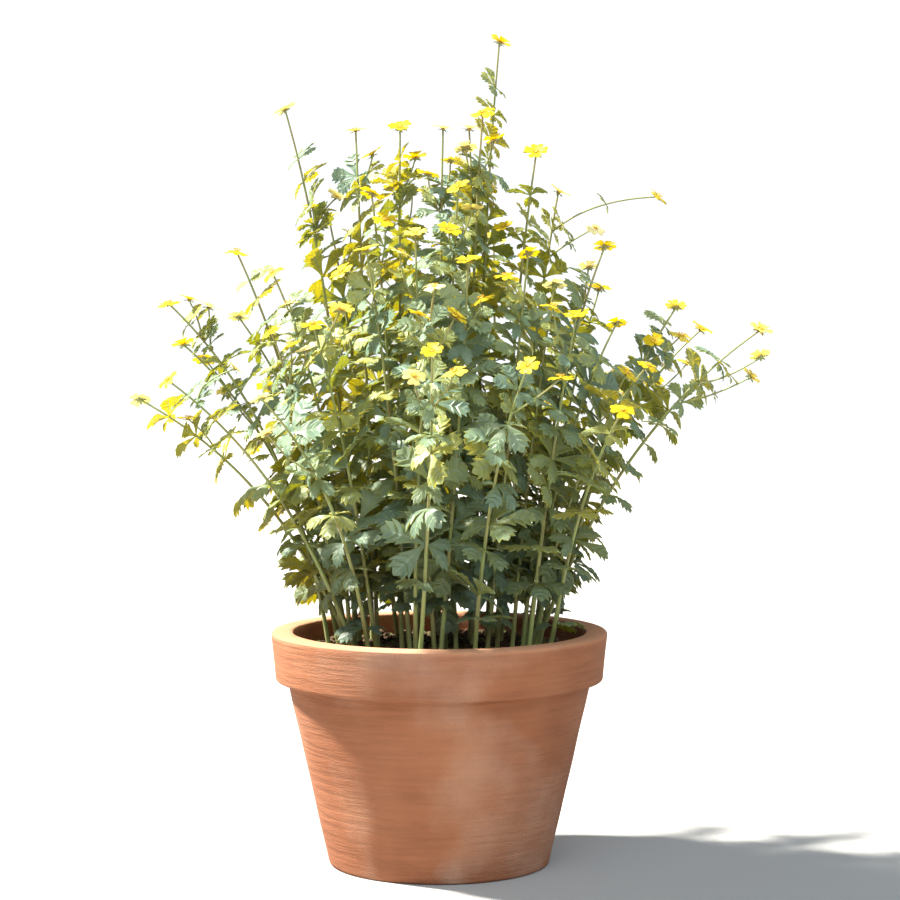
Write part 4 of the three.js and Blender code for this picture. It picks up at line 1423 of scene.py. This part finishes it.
def spike_mesh(name, spikes, seed):
    """Thin three-sided spikes from one point: (length, lean) of each, lengths in whole sizes"""
    rng = random.Random(seed)
    corners = []
    faces = []
    for length, lean in spikes:
        turn = rng.uniform(0, 2 * math.pi)
        way = Vector((math.cos(turn) * lean, math.sin(turn) * lean, 1)).normalized()
        start = len(corners)
        corners.extend(corner - way * SPIKE_SUNK for corner in three_round(way, SPIKE_RADIUS))
        corners.append(way * length)
        faces.extend((start + corner, start + (corner + 1) % 3, start + 3) for corner in range(3))
        faces.append((start + 2, start + 1, start))
    return new_mesh(name, corners, faces)


def soil_face(soil):
    """The top of the soil alone, to strew things on"""
    mesh = soil.data
    lowest = (SOIL_LEVEL - SOIL_FACE_DROP) * MM
    faces = [face for face in mesh.polygons if face.normal.z > 0.3 and face.center.z > lowest]
    used = sorted({corner for face in faces for corner in face.vertices})
    index = {corner: number for number, corner in enumerate(used)}
    return new_object("soil_face", new_mesh(
        "soil_face",
        [mesh.vertices[corner].co for corner in used],
        [tuple(index[corner] for corner in face.vertices) for face in faces],
    ))


def strewn(name, ground, patterns, material, **rule):
    """One mesh of patterns strewn over a surface"""
    shelf = pattern_shelf(name, patterns)
    made = made_by(STREWN, name, ground, Patterns=shelf, Material=material, **rule)
    clear_away(shelf)
    return made


def make_crumbs(ground):
    return strewn(
        "soil_crumbs", ground, [crumb_mesh(index) for index in range(CRUMBS)],
        earth_material("crumbs", *CRUMB_COLOURS),
        Density=90000.0, Gap=0.0022, Smallest=0.0012, Largest=0.0052, Tilt=3.0, Seed=11,
    )


def make_moss(ground):
    spikes = [(0.5 + 0.1 * spike, 0.16 * spike) for spike in range(TUFT_SPIKES)]
    return strewn(
        "moss", ground, [spike_mesh(f"tuft_{index}", spikes, index) for index in range(TUFTS)],
        plain_material("moss", *MOSS_COLOURS, 0.7),
        Density=26000.0, Gap=0.0016, Smallest=0.0018, Largest=0.004, Tilt=0.3, Seed=5,
    )


# Plant pieces

MIDDLE_CLUMP = 48
HAIRS = 3
STEM_TAPER = 0.6
SHADE_SPREAD = (0.65, 1.0)


def clump_of(stem):
    """Which side of the clump a stem is on, by its tip"""
    tip = stem["curve"][2]
    if math.hypot(tip.x, tip.y * 1.2) < MIDDLE_CLUMP:
        return "middle"
    if abs(tip.x) > abs(tip.y):
        return "right" if tip.x > 0 else "left"
    return "back" if tip.y > 0 else "front"


def stalk_line(curve, radii, taper):
    """Points along a curve with their thickness"""
    steps = max(3, math.ceil((curve[2] - curve[0]).length / STALK_STEP))
    shares = [number / steps for number in range(steps + 1)]
    return [(curve_point(curve, share), mix(*radii, share**taper)) for share in shares]


def make_stalks(stems, material):
    """All stems and branches as round stalks along the part's own curves"""
    corners = []
    edges = []
    thickness = []
    for stem in stems:
        curve = stem["curve"]
        foot = curve[0] - curve_direction(curve, 0) * STEM_SUNK
        lines = [[(foot, FINE_STEM[0]), *stalk_line(curve, FINE_STEM, STEM_TAPER)]]
        lines += [stalk_line(branch["curve"], FINE_BRANCH, 1) for branch in stem["branches"]]
        for line in lines:
            start = len(corners)
            corners.extend(tuple(at * MM) for at, _ in line)
            thickness.extend(radius * MM for _, radius in line)
            edges.extend((start + number, start + number + 1) for number in range(len(line) - 1))
    mesh = bpy.data.meshes.new("stalk_lines")
    mesh.from_pydata(corners, edges, [])
    mesh.attributes.new("thickness", "FLOAT", "POINT").data.foreach_set("value", thickness)
    lines = new_object("stalk_lines", mesh)
    stalks = made_by(STALKS, "stalks", lines, Sides=STEM_SIDES, Material=material)
    clear_away(lines)
    return stalks


def make_hairs(stalks):
    return strewn(
        "stalk_hairs", stalks,
        [spike_mesh(f"hair_{index}", [(1, 0.3 * index)], index) for index in range(HAIRS)],
        plain_material("hair", *HAIR_COLOURS, 0.5),
        Density=170000.0, Gap=0.0009, Smallest=0.0007, Largest=0.0014, Tilt=0.5, Seed=3,
    )


def pattern_like(value, limits, count):
    """Which of the patterns that share out a range is most like a value"""
    low, high = limits
    return int(clamp((value - low) / (high - low) * count, 0, count - 1))


def leaf_placements(stem, rng):
    """Where the fine leaves and stipules of a stem go, with the pattern that hangs most alike"""
    for leaf in stem["leaves"]:
        main, stipules = leaf["blades"]
        kind = pattern_like(main["droop"], PATTERN_DROOP, LEAF_PATTERNS)
        shade = rng.betavariate(*SHADE_SPREAD)
        pair = LEAF_PATTERNS + rng.randrange(STIPULE_PATTERNS)
        for pattern, blade in ((kind, main), (pair, stipules)):
            yield pattern, blade["at"], blade["out"], blade["across"], blade["up"], blade["size"], shade


def flower_placements(stems, choose, seed):
    rng = random.Random(seed)
    for stem in stems:
        for flower in stem["flowers"]:
            up, out = flower["up"], flower["out"]
            yield choose(flower, rng), flower["at"], out, up.cross(out), up, flower["size"], rng.random()


def keep(piece, slot, *nodes):
    """Hands a finished piece to the frame"""
    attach(piece, "root")
    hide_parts(*nodes)


def petals_for(flower, _):
    return pattern_like(flower["cup"], PETAL_CUP, PETAL_PATTERNS)


def any_pattern(_, rng):
    return rng.randrange(CENTRE_PATTERNS)


stems = [grow_stem(number) for number in range(len(STEMS))]
more_leaves(stems)

leaf_finish = leaf_material()
green = stalk_material()

keep(make_pot(clay_material()), "fired_clay", "pot")
soil = make_soil(earth_material("earth", *EARTH_COLOURS))
keep(soil, "earth", "soil")
ground = soil_face(soil)
keep(make_crumbs(ground), "earth", "soil")
keep(make_moss(ground), "leaf_blade", "soil")
clear_away(ground)

stalks = make_stalks(stems, green)
keep(make_hairs(stalks), "leafy_stem", *STEM_NODES)
keep(stalks, "leafy_stem", *STEM_NODES)

leaf_shelf = pattern_shelf("blade", [
    *(leaf_pattern(index) for index in range(LEAF_PATTERNS)),
    *(stipule_pattern(index) for index in range(STIPULE_PATTERNS)),
])
rng = random.Random(SEED + 1)
for clump in ("left", "front", "middle", "back", "right"):
    members = [stem for stem in stems if clump_of(stem) == clump]
    placements = [place for stem in members for place in leaf_placements(stem, rng)]
    leaves = scatter(f"{clump}_leaves", placements, leaf_shelf, leaf_finish)
    keep(leaves, "leaf_blade", *(STEM_NODES[stem["number"]] for stem in members))
clear_away(leaf_shelf)

for name, slot, make, count, choose, finish in (
    ("petals", "petal", petal_pattern, PETAL_PATTERNS, petals_for, petal_material()),
    ("calyxes", "leafy_stem", calyx_pattern, CENTRE_PATTERNS, any_pattern, green),
    ("stamens", "stamen", stamen_pattern, CENTRE_PATTERNS, any_pattern, stamen_material()),
):
    shelf = pattern_shelf(name, [make(index) for index in range(count)])
    piece = scatter(name, list(flower_placements(stems, choose, SEED + 2)), shelf, finish)
    keep(piece, slot, *STEM_NODES)
    clear_away(shelf)


# Stage, light and camera

# The sky is paler overhead, so that the far floor looks as bright as the sky behind it
SKY_LOW = (0.86, 0.9, 0.95)
SKY_HIGH = (0.95, 1.0, 1.08)
SKY_STRENGTH = 0.4
SKY_SEEN = 1.25

# Each sun: where it stands, how wide it is in degrees, its power and its colour
SUNS = {
    "sun_side": ((-1.2, 0.3, 1.6), 4, 17, (1.0, 0.95, 0.85)),
    "sky_side": ((0.3, -1.1, 1.2), 60, 2.3, (0.84, 0.94, 1.0)),
}
FLOOR_RADIUS = 6000
FLOOR_DEPTH = 20
LENS = 100
SENSOR = 36
FRAME_ROOM = 1.085
CAMERA_RISE = 3


def soft_sun(name, toward, width, power, colour):
    """Even light from one side of the sky: toward points at the middle of the lit patch"""
    light = bpy.data.lights.new(name, "SUN")
    light.angle = math.radians(width)
    light.energy = power
    light.color = colour
    lamp = new_object(name, light)
    lamp.rotation_euler = Vector(toward).to_track_quat("Z", "Y").to_euler()


def pale_floor():
    profile = [(0, -FLOOR_DEPTH), (FLOOR_RADIUS, -FLOOR_DEPTH), (FLOOR_RADIUS, 0), (0, 0)]
    floor = new_object("floor", lathe("floor", profile, 96))
    material, tree = new_material("floor_paper")
    colour = blend_colour(tree, mottle(tree, 3, 0.2, 0.8), (0.33, 0.33, 0.33), (0.36, 0.36, 0.355))
    surface(tree, colour, 0.9, Specular_IOR_Level=0.1)
    floor.data.materials.append(material)
    floor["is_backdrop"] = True


def studio():
    world = bpy.data.worlds.new("studio")
    world.use_nodes = True
    tree = world.node_tree
    sky = tree.nodes["Background"]
    rise = parts_of(tree, add_node(tree, "ShaderNodeTexCoord").outputs["Generated"])[2]
    tree.links.new(blend_colour(tree, ramp(tree, rise, 0, 1), SKY_LOW, SKY_HIGH), sky.inputs["Color"])
    seen = add_node(tree, "ShaderNodeLightPath").outputs["Is Camera Ray"]
    tree.links.new(add_node(
        tree, "ShaderNodeMapRange", {"Value": seen, "To Min": SKY_STRENGTH, "To Max": SKY_SEEN}
    ).outputs[0], sky.inputs["Strength"])
    bpy.context.scene.world = world
    for name, light in SUNS.items():
        soft_sun(name, *light)
    bpy.context.scene.view_settings.view_transform = "Standard"


def front_camera():
    """A long lens, a little above the middle of the pieces and in front of it"""
    low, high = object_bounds()
    side = FRAME_ROOM * max(high.z - low.z, high.x - low.x)
    tilt = math.radians(CAMERA_RISE)
    data = bpy.data.cameras.new("front")
    data.lens = LENS
    data.sensor_width = SENSOR
    camera = new_object("front", data)
    aim = Vector(((low.x + high.x) / 2, 0, (low.z + high.z) / 2))
    camera.location = aim + Vector((0, -math.cos(tilt), math.sin(tilt))) * side * LENS / SENSOR
    camera.rotation_euler = (aim - camera.location).to_track_quat("-Z", "Y").to_euler()
    bpy.context.scene.camera = camera


pale_floor()
studio()
front_camera()
